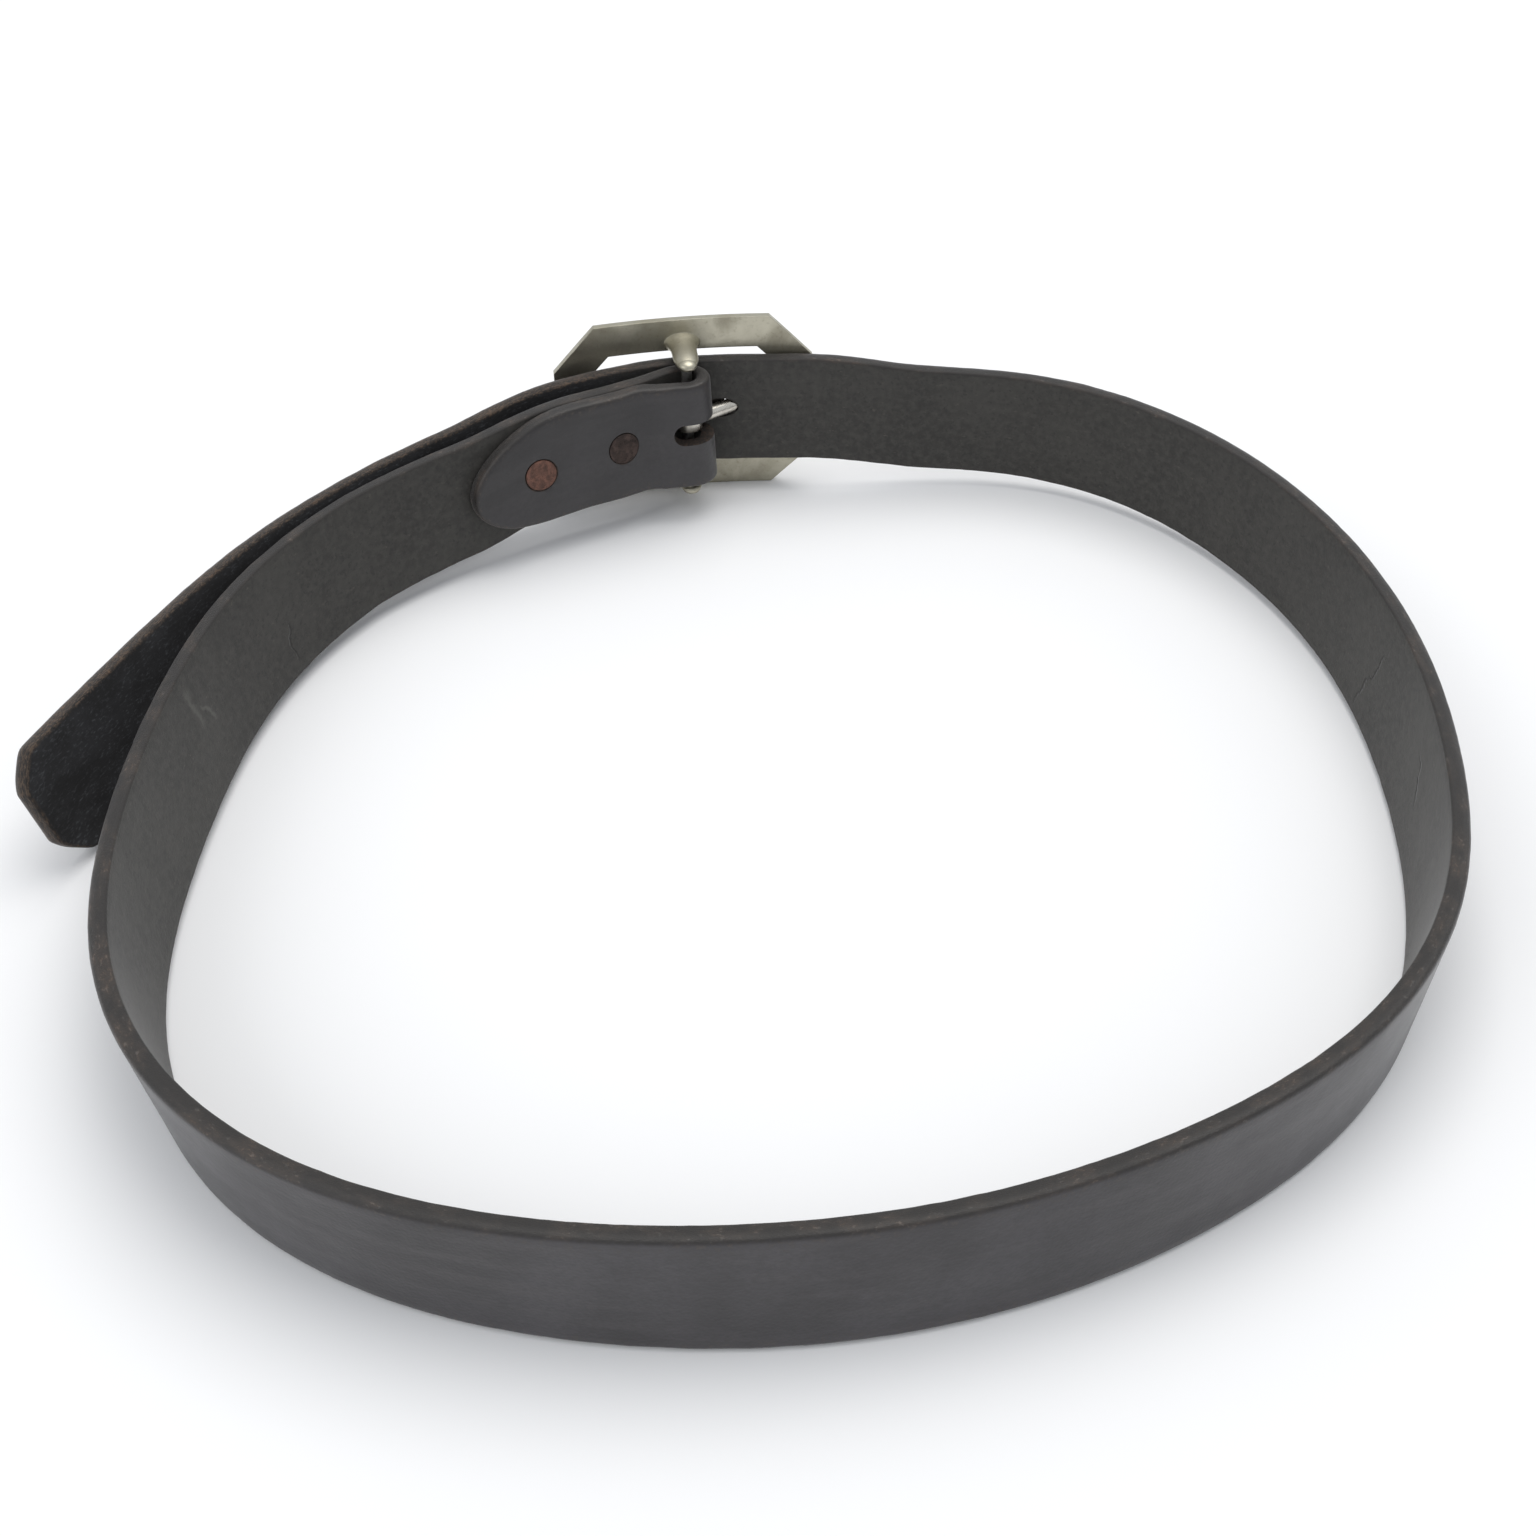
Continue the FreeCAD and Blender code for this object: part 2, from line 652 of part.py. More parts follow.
def bar_bore():
    """Bored through the lower lug and blind in the upper one."""
    below = FRAME_HEIGHT / 2.0
    return Part.makeCylinder(BAR_DIAMETER / 2.0, below + BAR_TOP, Vector(0, 0, -below))


def make_frame():
    body = frame_plate().fuse([lug(-1), lug(1)])
    return place_on_buckle(body.cut(bar_bore()))


def make_bar():
    return place_on_buckle(Part.makeCylinder(BAR_DIAMETER / 2.0, BAR_TOP + BAR_BOTTOM,
                                             Vector(0, 0, -BAR_BOTTOM)))


# ---------------------------------------------------------------- prong
def prong_path():
    """From inside the eye's wall, straight through the strap, then bent down to the rail."""
    bend = Vector(PRONG_BEND_U, PRONG_BEND_Y, 0)
    start = Vector(bend).normalize() * (PRONG_EYE_OUTSIDE - PRONG_EYE_INSIDE + 1.0)
    tip = Vector(PRONG_TIP_U, PRONG_TIP_Y, 0)
    to_start = (start - bend).normalize()
    to_tip = (tip - bend).normalize()
    a = bend + to_start * (PRONG_CORNER / 2.0)
    b = bend + to_tip * (PRONG_CORNER / 2.0)
    arc = Part.BezierCurve()
    arc.setPoles([a, bend, b])
    return Part.Wire([Part.makeLine(start, a), arc.toShape(), Part.makeLine(b, tip)]), start, tip


def make_prong():
    half = PRONG_DIAMETER / 2.0
    path, start, tip = prong_path()
    along = Vector(start).normalize()
    circle = Part.Wire(Part.makeCircle(half, start, along))
    shank = path.makePipeShell([circle], True, False)
    eye = Part.makeCylinder(PRONG_EYE_OUTSIDE, PRONG_DIAMETER, Vector(0, 0, -half))
    bore = Part.makeCylinder(PRONG_EYE_INSIDE, 2.0 * PRONG_DIAMETER, Vector(0, 0, -PRONG_DIAMETER))
    ball = Part.makeSphere(half, tip)
    prong = eye.fuse([shank, ball]).cut(bore)
    prong.translate(Vector(0, 0, PRONG_W))
    return place_on_buckle(prong)


# ---------------------------------------------------------------- write the pieces
def build():
    pieces = {
        "strap": make_strap(),
        "buckle_frame": make_frame(),
        "center_bar": make_bar(),
        "prong": make_prong(),
        "rivet_fold": make_rivet(RIVET_FOLD_U),
        "rivet_flap": make_rivet(RIVET_FLAP_U),
        "burr_fold": make_burr(RIVET_FOLD_U),
        "burr_flap": make_burr(RIVET_FLAP_U),
    }
    box = FreeCAD.BoundBox()
    for shape in pieces.values():
        box.add(shape.optimalBoundingBox(False))
    to_origin = Vector(-box.Center.x, -box.Center.y, -box.ZMin)
    os.makedirs("parts", exist_ok=True)
    for name, shape in pieces.items():
        shape.translate(to_origin)
        shape.exportStep(os.path.join("parts", name + ".step"))
        print(name, "valid", shape.isValid(), "solids", len(shape.Solids),
              "volume", round(shape.Volume, 1))
    print("size", round(box.XLength, 1), round(box.YLength, 1), round(box.ZLength, 1))
    print("bar at", tuple(round(value, 3) for value in (BAR + to_origin)))
    print("bar direction", tuple(round(value, 5) for value in UP))


build()
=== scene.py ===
import json
import math

import bmesh
import bpy
import numpy as np
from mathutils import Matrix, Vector, noise


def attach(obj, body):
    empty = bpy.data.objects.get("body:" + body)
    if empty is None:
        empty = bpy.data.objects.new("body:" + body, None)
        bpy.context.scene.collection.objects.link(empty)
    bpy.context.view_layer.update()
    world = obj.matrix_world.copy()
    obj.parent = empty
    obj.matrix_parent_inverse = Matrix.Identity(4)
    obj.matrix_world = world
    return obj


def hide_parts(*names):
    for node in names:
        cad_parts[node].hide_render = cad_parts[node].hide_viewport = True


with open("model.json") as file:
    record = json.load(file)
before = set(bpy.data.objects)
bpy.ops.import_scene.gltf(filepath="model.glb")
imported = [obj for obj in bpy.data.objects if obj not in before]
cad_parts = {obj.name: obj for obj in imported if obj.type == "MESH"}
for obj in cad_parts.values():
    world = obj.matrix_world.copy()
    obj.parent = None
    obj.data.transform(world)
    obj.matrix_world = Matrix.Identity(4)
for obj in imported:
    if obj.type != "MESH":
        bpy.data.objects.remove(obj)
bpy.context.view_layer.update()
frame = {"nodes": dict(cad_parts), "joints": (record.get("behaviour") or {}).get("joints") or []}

# The looks of a leather belt with an octagonal buckle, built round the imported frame.
# The strap is drawn flat, with its rounded edges, and then laid along the path of the real strap.
# Lengths below are millimetres in the loop's own frame; vertices are written in metres.
MM = 0.001

# ---------------------------------------------------------------- strap dimensions
STRAP_WIDTH = 35.0
STRAP_THICKNESS = 4.8
FOLD_THICKNESS = 4.0          # skived down where it folds round the bar
SKIVE_END = 14.0
LAYER_GAP = 0.25
FLAP_GAP = 0.12
HALF_WIDTH = STRAP_WIDTH / 2.0

# Middle line seen from above: loop radii at equal angles, from +X, anticlockwise.
LOOP_RADII = (161.5, 168.0, 175.0, 169.5, 151.5, 148.5, 152.0, 157.0,
              160.0, 172.0, 178.0, 166.5, 156.5, 154.0, 158.5, 162.0)
LEAN_MEAN = 5.0
LEAN_BACK = 3.5
LEAN_LEFT = 3.7
LEAN_SIDES = 6.5

BUCKLE_ANGLE = 103.0
BAR_X = -32.6
BAR_Y = 143.8
LIFT = 13.0
LIFT_SPREAD = 28.0
BUCKLE_HOLD = 12.0
BUCKLE_FADE = 16.0

# Inner face of the outer layer, measured outward from the loop's middle line.
OUTER_LAYER = ((380.0, -2.4), (405.0, -2.6), (425.0, -3.6), (440.0, -4.0), (452.0, 1.1),
               (463.0, 6.0), (474.0, 4.7), (486.0, 2.7), (498.0, 3.3), (508.0, 4.6),
               (520.0, 7.2), (534.0, 14.8), (548.0, 28.2))
FULL_TURN = 360.0
OUTER_START = 385.0
TIP_ANGLE = 548.0
INNER_SETTLED = 145.0

# Outer face of the inner layer near the buckle, measured the same way: it dips inward.
INNER_LAYER = ((97.0, 5.3), (101.0, 5.7), (104.0, 5.15), (108.0, 1.9), (113.0, -0.9),
               (120.0, -1.9), (128.0, -1.5), (137.0, 0.5), (145.0, 2.4))

FOLD_RADIUS = 3.9
FOLD_U = -0.3                 # centre of the fold, from the bar
FOLD_Y = -1.95
STRAP_ROLL = 2.5              # degrees the strap is turned in its own plane at the bar
ROLL_REACH = 70.0             # the turn is gone this far from the bar
FLAP_REACH = 71.0
FLAP_ROUND = 34.0
FLAP_CLOSE = 24.0
FLAP_NOSE = 0.3
TIP_CLIP = 9.5
TIP_SOFT = 3.6                # the clipped corners are rounded over this length
TIP_TURN = 2.2                # and come in this much more at the very end

HOLE_DIAMETER = 5.6
HOLE_SPACING = 25.0
SPARE_HOLES = 4
USED_HOLE_DIAMETER = 6.4
PRONG_W = 1.0                 # the prong rides this far above the bar's middle
USED_HOLE_TURN = 2.0
USED_HOLE_START = 5.5
USED_HOLE_REACH = 24.0
SLOT_WIDTH = 7.0
SLOT_REACH = 1.9
SLOT_CLEAR = 0.1              # the slot's cutter stops this far outside the fold
SLOT_OPEN = 0.4               # and this far past its bend

FRAME_HEIGHT = 58.0
FRAME_BACK = 11.5
FRAME_THICKNESS = 3.0
PRONG_BEND_U = 29.5
PRONG_BEND_Y = 15.0

RIVET_PLACES = (-24.0, -50.0)
RIVET_HEAD = 9.8
RIVET_HEAD_SEAT = 1.0
RIVET_SHANK = 3.4
BURR_DIAMETER = 8.0
BURR_SEAT = 1.6
FIT_GAP = 0.1

# ---------------------------------------------------------------- strap mesh
FLAP_STEP = 2.4               # millimetres between the flap's stations
FLAP_END = 1.5                # the flap's stations stop this far before the fold
FOLD_STEP = 10.0              # degrees between the fold's stations
LEAF_LAG = 2.0                # the leaf's stations start this far past the fold
NEAR_STEP = 1.2               # degrees between stations near the buckle
LOOP_STEP = 2.0               # degrees between stations round the loop
OUTER_STEP = 1.45             # degrees between stations of the outer layer
WALK_STEP = 0.1               # degrees walked at a time when looking for a hole's place
GRAIN_ROUND = 1.35            # radius worn on the long edges of the smooth side
FLESH_ROUND = 0.8             # radius worn on the long edges of the rough side
EDGE_BULGE = 0.12             # the burnished edge bulges by this much
ROW_STEP = 1.9
FOLD_ROW_STEP = 0.6
FOLD_FINE = 13.0              # rows are fine this far each side of the fold
FLAP_ROWS = 20
TIP_ROWS = 14
ACROSS = 18                   # cells across each wide face
ROUND_STEPS = 4               # cells round each edge's corner
HOLE_FLARE = 0.45             # the punched rims are rounded over by this much
HOLE_SIDES = 40
CUT_SPARE = 2.0               # how far a cutter runs past the face it opens
INNER_SPARE = 0.1             # the spare holes' cutters stop this far past the rough side
CORNER_LIMIT = 38.0           # degrees: faces that meet at more than this stay sharp
EDGE_ZONE = 3.0               # the edges wander over this width
LONG_WAVE = (45.0, 90.0)      # length along and across of the edge's slow wander
SHORT_WAVE = (6.5, 9.0)
FINE_WAVE = (2.1, 2.4)


# ---------------------------------------------------------------- small maths
def ease(x):
    x = min(max(x, 0.0), 1.0)
    return x * x * (3.0 - 2.0 * x)


def natural_spline(knots):
    """Second derivatives of the smooth curve through (x, y) knots."""
    n = len(knots)
    bend = [0.0] * n
    upper = [0.0] * n
    for i in range(1, n - 1):
        (x0, y0), (x1, y1), (x2, y2) = knots[i - 1], knots[i], knots[i + 1]
        share = (x1 - x0) / (x2 - x0)
        pivot = share * bend[i - 1] + 2.0
        bend[i] = (share - 1.0) / pivot
        slope = (y2 - y1) / (x2 - x1) - (y1 - y0) / (x1 - x0)
        upper[i] = (6.0 * slope / (x2 - x0) - share * upper[i - 1]) / pivot
    second = [0.0] * n
    for i in range(n - 2, 0, -1):
        second[i] = bend[i] * second[i + 1] + upper[i]
    return second


def on_spline(knots, second, x):
    i = 0
    while i < len(knots) - 2 and knots[i + 1][0] < x:
        i += 1
    (x0, y0), (x1, y1) = knots[i], knots[i + 1]
    h = x1 - x0
    a = (x1 - x) / h
    b = (x - x0) / h
    curve = (a ** 3 - a) * second[i] + (b ** 3 - b) * second[i + 1]
    return a * y0 + b * y1 + curve * h * h / 6.0


OUTER_BEND = natural_spline(OUTER_LAYER)
INNER_BEND = natural_spline(INNER_LAYER)


# ---------------------------------------------------------------- the buckle's own axes
def buckle_axes():
    """Along the belt, outward, and up the bar, from the joint's axis in the record."""
    up = Vector(frame["joints"][0]["axis"]).normalized()
    level_out = Vector((up.x, up.y, 0.0)).normalized()
    along = Vector((level_out.y, -level_out.x, 0.0))
    return along, up.cross(along), up


ALONG, OUT, UP = buckle_axes()
BAR_Z = FRAME_HEIGHT / 2.0 * UP.z + (FRAME_BACK + FRAME_THICKNESS) * math.hypot(UP.x, UP.y)
BAR = Vector((BAR_X, BAR_Y, BAR_Z))
BAR_ROW = Vector(frame["joints"][0]["pos_m"]) / MM
TO_ROW = BAR_ROW - BAR


def to_row(point):
    """From the loop's frame in millimetres to the row's frame in metres."""
    return (point + TO_ROW) * MM


def buckle_point(u, y, w=0.0):
    return BAR + ALONG * u + OUT * y + UP * w


# ---------------------------------------------------------------- the loop
def loop_radius(angle):
    count = len(LOOP_RADII)
    total = 0.0
    for i, radius in enumerate(LOOP_RADII):
        half = (math.radians(angle) - 2.0 * math.pi * i / count) / 2.0
        wave = math.sin(half)
        weight = 1.0
        if abs(wave) > 1e-9:
            weight = math.sin(count * half) * math.cos(half) / (count * wave)
        total += radius * weight
    return total


def loop_point(angle):
    radius = loop_radius(angle)
    turn = math.radians(angle)
    return Vector((radius * math.cos(turn), radius * math.sin(turn), 0.0))


def loop_outward(angle):
    step = 0.5
    along = (loop_point(angle + step) - loop_point(angle - step)).normalized()
    return Vector((along.y, -along.x, 0.0))


def lean(angle):
    turn = math.radians(angle)
    return (LEAN_MEAN + LEAN_BACK * math.sin(turn) - LEAN_LEFT * math.cos(turn)
            + LEAN_SIDES * math.cos(2.0 * turn))


def from_buckle(angle):
    return abs((angle - BUCKLE_ANGLE + 180.0) % FULL_TURN - 180.0)


def hold(angle):
    """1 where the strap follows the buckle, 0 where it follows the loop."""
    return 1.0 - ease((from_buckle(angle) - BUCKLE_HOLD) / BUCKLE_FADE)


def strap_up(angle):
    tilt = math.radians(lean(angle))
    up = Vector((0.0, 0.0, math.cos(tilt))) + loop_outward(angle) * math.sin(tilt)
    return (up * (1.0 - hold(angle)) + UP * hold(angle)).normalized()


def strap_middle(angle, offset):
    tilt = math.radians(lean(angle))
    lift = LIFT / (1.0 + (from_buckle(angle) / LIFT_SPREAD) ** 2)
    free = (STRAP_WIDTH * math.cos(tilt) + STRAP_THICKNESS * abs(math.sin(tilt))) / 2.0 + lift
    point = loop_point(angle) + loop_outward(angle) * offset
    held = BAR_Z + OUT.z * (point - BAR).dot(OUT)
    point.z = free * (1.0 - hold(angle)) + held * hold(angle)
    return point


def outer_face(angle):
    if angle < OUTER_START:
        return -STRAP_THICKNESS / 2.0
    return on_spline(OUTER_LAYER, OUTER_BEND, angle)


def leaf_face(angle):
    if angle > INNER_SETTLED:
        return STRAP_THICKNESS / 2.0
    return on_spline(INNER_LAYER, INNER_BEND, angle)


def along_buckle(angle):
    return (strap_middle(angle, leaf_face(angle)) - BAR).dot(ALONG)


def angle_at(u):
    """Loop angle of the inner layer at distance u along the buckle."""
    low, high = BUCKLE_ANGLE - 15.0, BUCKLE_ANGLE + 45.0
    for _ in range(40):
        middle = (low + high) / 2.0
        if along_buckle(middle) > u:
            low = middle
        else:
            high = middle
    return low


def leaf_thickness(u):
    return FOLD_THICKNESS + (STRAP_THICKNESS - FOLD_THICKNESS) * ease(-u / SKIVE_END)


def rolled(up, u):
    """Up direction turned in the strap's plane, as the strap hangs from the bar."""
    turn = math.radians(STRAP_ROLL) * (1.0 - ease(-u / ROLL_REACH))
    return (up * math.cos(turn) - ALONG * math.sin(turn)).normalized()


# ---------------------------------------------------------------- stations of the strap
# A station is (middle point, up direction of the strap's width, thickness).
def leaf_station(angle):
    if angle > INNER_SETTLED:
        return strap_middle(angle, 0.0), strap_up(angle), STRAP_THICKNESS
    u = along_buckle(angle)
    thick = leaf_thickness(u)
    point = strap_middle(angle, leaf_face(angle) - thick / 2.0)
    return point, rolled(strap_up(angle), u), thick


def flap_station(u):
    angle = angle_at(u)
    leaf, up, thick = leaf_station(angle)
    ahead = leaf_station(angle + 0.5)[0] - leaf_station(angle - 0.5)[0]
    lying = leaf - ahead.cross(up).normalized() * (thick + FLAP_GAP)
    free = buckle_point(u, FOLD_Y - FOLD_RADIUS - FOLD_THICKNESS / 2.0)
    share = ease((-u - FLAP_CLOSE / 3.0) / (FLAP_CLOSE / 1.5))
    return free * (1.0 - share) + lying * share, up, thick


def fold_station(turn):
    radius = FOLD_RADIUS + FOLD_THICKNESS / 2.0
    point = buckle_point(FOLD_U + radius * math.cos(turn), FOLD_Y + radius * math.sin(turn))
    return point, rolled(UP, 0.0), FOLD_THICKNESS


def outer_station(angle):
    offset = outer_face(angle) + STRAP_THICKNESS / 2.0
    return strap_middle(angle, offset), strap_up(angle), STRAP_THICKNESS


def spread(start, end, step):
    """Evenly spaced values from start to just before end."""
    count = max(1, int(round(abs(end - start) / step)))
    return [start + (end - start) * i / count for i in range(count)]


def all_stations():
    """Stations from the flap's end to the tip, and the loop angle of each."""
    stations = []
    angles = []
    for u in spread(FLAP_NOSE - FLAP_REACH, FOLD_U - FLAP_END, FLAP_STEP):
        stations.append(flap_station(u))
        angles.append(0.0)
    for turn in spread(-90.0, 90.0 + FOLD_STEP / 2.0, FOLD_STEP):
        stations.append(fold_station(math.radians(turn)))
        angles.append(0.0)
    near = spread(angle_at(FOLD_U - LEAF_LAG), INNER_SETTLED, NEAR_STEP)
    for angle in near + spread(INNER_SETTLED, OUTER_START, LOOP_STEP):
        stations.append(leaf_station(angle))
        angles.append(angle)
    for angle in spread(OUTER_START, TIP_ANGLE, OUTER_STEP) + [TIP_ANGLE]:
        stations.append(outer_station(angle))
        angles.append(angle)
    return stations, angles


class Run:
    """The strap's path by distance from the flap's end, smooth through the stations."""

    def __init__(self):
        stations, self.angles = all_stations()
        self.values = np.array([list(p) + list(up) + [thick] for p, up, thick in stations])
        gaps = np.linalg.norm(np.diff(self.values[:, :3], axis=0), axis=1)
        self.places = np.concatenate(([0.0], np.cumsum(gaps)))
        self.length = float(self.places[-1])
        self.slopes = self.station_slopes(gaps)

    def station_slopes(self, gaps):
        rise = np.diff(self.values, axis=0) / gaps[:, None]
        before, after = gaps[:-1, None], gaps[1:, None]
        inner = (rise[:-1] * after + rise[1:] * before) / (before + after)
        return np.vstack((rise[:1], inner, rise[-1:]))

    def at(self, s):
        """Middle point, travel direction, up direction and thickness at distance s."""
        i = int(np.searchsorted(self.places, s, side="right")) - 1
        i = min(max(i, 0), len(self.places) - 2)
        gap = self.places[i + 1] - self.places[i]
        t = (s - self.places[i]) / gap
        v0, v1 = self.values[i], self.values[i + 1]
        m0, m1 = self.slopes[i] * gap, self.slopes[i + 1] * gap
        value = ((2 * t ** 3 - 3 * t ** 2 + 1) * v0 + (t ** 3 - 2 * t ** 2 + t) * m0
                 + (3 * t ** 2 - 2 * t ** 3) * v1 + (t ** 3 - t ** 2) * m1)
        rate = ((6 * t ** 2 - 6 * t) * v0 + (3 * t ** 2 - 4 * t + 1) * m0
                + (6 * t - 6 * t ** 2) * v1 + (3 * t ** 2 - 2 * t) * m1)
        return (Vector(value[:3]), Vector(rate[:3]).normalized(),
                Vector(value[3:6]).normalized(), float(value[6]))

    def place_of_angle(self, angle):
        """Distance at which the strap passes a loop angle."""
        known = [i for i, a in enumerate(self.angles) if a > 0.0]
        return float(np.interp(angle, [self.angles[i] for i in known],
                               [self.places[i] for i in known]))


RUN = Run()
FOLD_PLACE = FLAP_REACH - FLAP_NOSE + FOLD_U + math.pi / 2.0 * (FOLD_RADIUS + FOLD_THICKNESS / 2.0)


# ---------------------------------------------------------------- the strap drawn flat
def tip_drop(past):
    """How far the edge has come in, past the start of the tip's clipped corner."""
    soft = min(past, TIP_SOFT)
    drop = soft * soft / (2.0 * TIP_SOFT) + max(past - TIP_SOFT, 0.0)
    short = max(past - TIP_CLIP + TIP_SOFT, 0.0) / TIP_SOFT
    return drop + TIP_TURN * (1.0 - math.sqrt(max(1.0 - short * short, 0.0)))


def row_places():
    """(distance, half width) of each row of cells across the strap."""
    reach = FLAP_ROUND - FLAP_NOSE
    rows = []
    for i in range(FLAP_ROWS):
        turn = math.pi / 2.0 * i / FLAP_ROWS
        rows.append((reach * (1.0 - math.cos(turn)), HALF_WIDTH * math.sin(turn)))
    fold_start = FOLD_PLACE - FOLD_FINE
    fold_end = FOLD_PLACE + FOLD_FINE
    clip_start = RUN.length - TIP_CLIP
    places = spread(reach, fold_start, ROW_STEP)
    places += spread(fold_start, fold_end, FOLD_ROW_STEP)
    places += spread(fold_end, clip_start, ROW_STEP)
    rows += [(s, HALF_WIDTH) for s in places]
    for i in range(TIP_ROWS + 1):
        past = TIP_CLIP * math.sin(math.pi / 2.0 * i / TIP_ROWS)
        rows.append((clip_start + past, HALF_WIDTH - tip_drop(past)))
    return rows


def outline_of(rows):
    """Flat outline: lower edge, end of the tip, upper edge back to the flap's nose."""
    lower = [(s, -half) for s, half in rows]
    end_s, end_half = rows[-1]
    end = [(end_s, -end_half + 2.0 * end_half * j / ACROSS) for j in range(1, ACROSS)]
    upper = [(s, half) for s, half in reversed(rows[1:])]
    return lower + end + upper


def inward_directions(outline):
    """Mitred inward direction at each point, for offsetting the outline."""
    count = len(outline)
    result = []
    for i in range(count):
        before = Vector(outline[i]) - Vector(outline[i - 1])
        after = Vector(outline[(i + 1) % count]) - Vector(outline[i])
        first = Vector((-before.y, before.x)).normalized()
        second = Vector((-after.y, after.x)).normalized()
        result.append((first + second) / (1.0 + first.dot(second)))
    return result


def edge_profile():
    """(inset, depth share) round the strap's edge, from the smooth side to the rough side."""
    half = STRAP_THICKNESS / 2.0
    profile = []
    for i in range(ROUND_STEPS + 1):
        turn = math.pi / 2.0 * i / ROUND_STEPS
        inset = GRAIN_ROUND * (1.0 - math.sin(turn))
        profile.append((inset, (half - GRAIN_ROUND * (1.0 - math.cos(turn))) / half))
    profile.append((-EDGE_BULGE, 0.1))
    for i in range(ROUND_STEPS + 1):
        turn = math.pi / 2.0 * (1.0 - i / ROUND_STEPS)
        inset = FLESH_ROUND * (1.0 - math.sin(turn))
        profile.append((inset, -(half - FLESH_ROUND * (1.0 - math.cos(turn))) / half))
    return profile


def unevenness(s, v, depth):
    """Small lumps and waves of hand-cut leather: (across, through) in millimetres."""
    near_edge = ease((abs(v) - HALF_WIDTH + EDGE_ZONE) / EDGE_ZONE)
    slow = noise.noise(Vector((s / LONG_WAVE[0], v / LONG_WAVE[1], 3.0)))
    quick = noise.noise(Vector((s / SHORT_WAVE[0], v / SHORT_WAVE[1], depth + 11.0)))
    fine = noise.noise(Vector((s / FINE_WAVE[0], v / FINE_WAVE[1], depth * 2.0 + 27.0)))
    across = near_edge * (0.22 * slow + 0.10 * quick + 0.06 * fine)
    through = 0.05 * quick + 0.03 * fine
    return across, through


def flat_to_row(s, v, depth_share):
    """A point of the flat strap laid along the real strap."""
    point, travel, up, thick = RUN.at(min(max(s, 0.0), RUN.length))
    outward = travel.cross(up).normalized()
    across, through = unevenness(s, v, depth_share)
    v += across * (1.0 if v > 0 else -1.0)
    depth = depth_share * thick / 2.0 + through * depth_share
    point = point + outward * depth + up * v
    point += travel * (s - min(max(s, 0.0), RUN.length))
    return to_row(point)


class FlatStrap:
    """Vertices of the strap as (distance, across, depth share, inset), with its faces."""

    def __init__(self):
        self.rows = row_places()
        self.outline = outline_of(self.rows)
        self.inward = inward_directions(self.outline)
        self.profile = edge_profile()
        self.points = []
        self.faces = []
        self.rings = [self.add_ring(inset, depth) for inset, depth in self.profile]
        self.join_rings()
        self.fill_side(self.rings[0], 1.0, False)
        self.fill_side(self.rings[-1], -1.0, True)

    def add_ring(self, inset, depth):
        ring = []
        for (s, v), (ds, dv) in zip(self.outline, self.inward):
            ring.append(len(self.points))
            self.points.append((s + ds * inset, v + dv * inset, depth, max(inset, 0.0)))
        return ring

    def join_rings(self):
        count = len(self.outline)
        for upper, lower in zip(self.rings, self.rings[1:]):
            for i in range(count):
                j = (i + 1) % count
                self.faces.append((upper[i], lower[i], lower[j], upper[j]))

    def lower_edge(self, ring, row):
        return ring[row]

    def upper_edge(self, ring, row):
        last = len(self.rows) - 1
        if row == 0:
            return ring[0]
        return ring[last + ACROSS + (last - row)]

    def fill_side(self, ring, depth, flip):
        """Cells across one wide face, between its lower and upper edges."""
        last = len(self.rows) - 1
        grid = []
        for row in range(last + 1):
            low = self.lower_edge(ring, row)
            high = self.upper_edge(ring, row)
            if row == 0:
                grid.append([low] * (ACROSS + 1))
            elif row == last:
                grid.append([ring[last + j] for j in range(ACROSS + 1)])
            else:
                grid.append([low] + self.add_between(low, high, depth) + [high])
        for row in range(last):
            for j in range(ACROSS):
                corners = [grid[row][j], grid[row + 1][j], grid[row + 1][j + 1], grid[row][j + 1]]
                if flip:
                    corners.reverse()
                corners = list(dict.fromkeys(corners))
                self.faces.append(tuple(corners))

    def add_between(self, low, high, depth):
        made = []
        s0, v0 = self.points[low][:2]
        s1, v1 = self.points[high][:2]
        for j in range(1, ACROSS):
            share = j / ACROSS
            s = s0 + (s1 - s0) * share
            v = v0 + (v1 - v0) * share
            inset = min(HALF_WIDTH - abs(v), RUN.length - s)
            made.append(len(self.points))
            self.points.append((s, v, depth, inset))
        return made


def strap_mesh(flat):
    mesh = bpy.data.meshes.new("belt_strap")
    vertices = [flat_to_row(s, v, depth) for s, v, depth, _ in flat.points]
    mesh.from_pydata(vertices, [], flat.faces)
    run = mesh.uv_layers.new(name="run")
    skin = mesh.uv_layers.new(name="skin")
    for loop in mesh.loops:
        s, v, depth, inset = flat.points[loop.vertex_index]
        run.data[loop.index].uv = (s * MM, v * MM)
        skin.data[loop.index].uv = (depth, inset * MM)
    mesh.update()
    return mesh


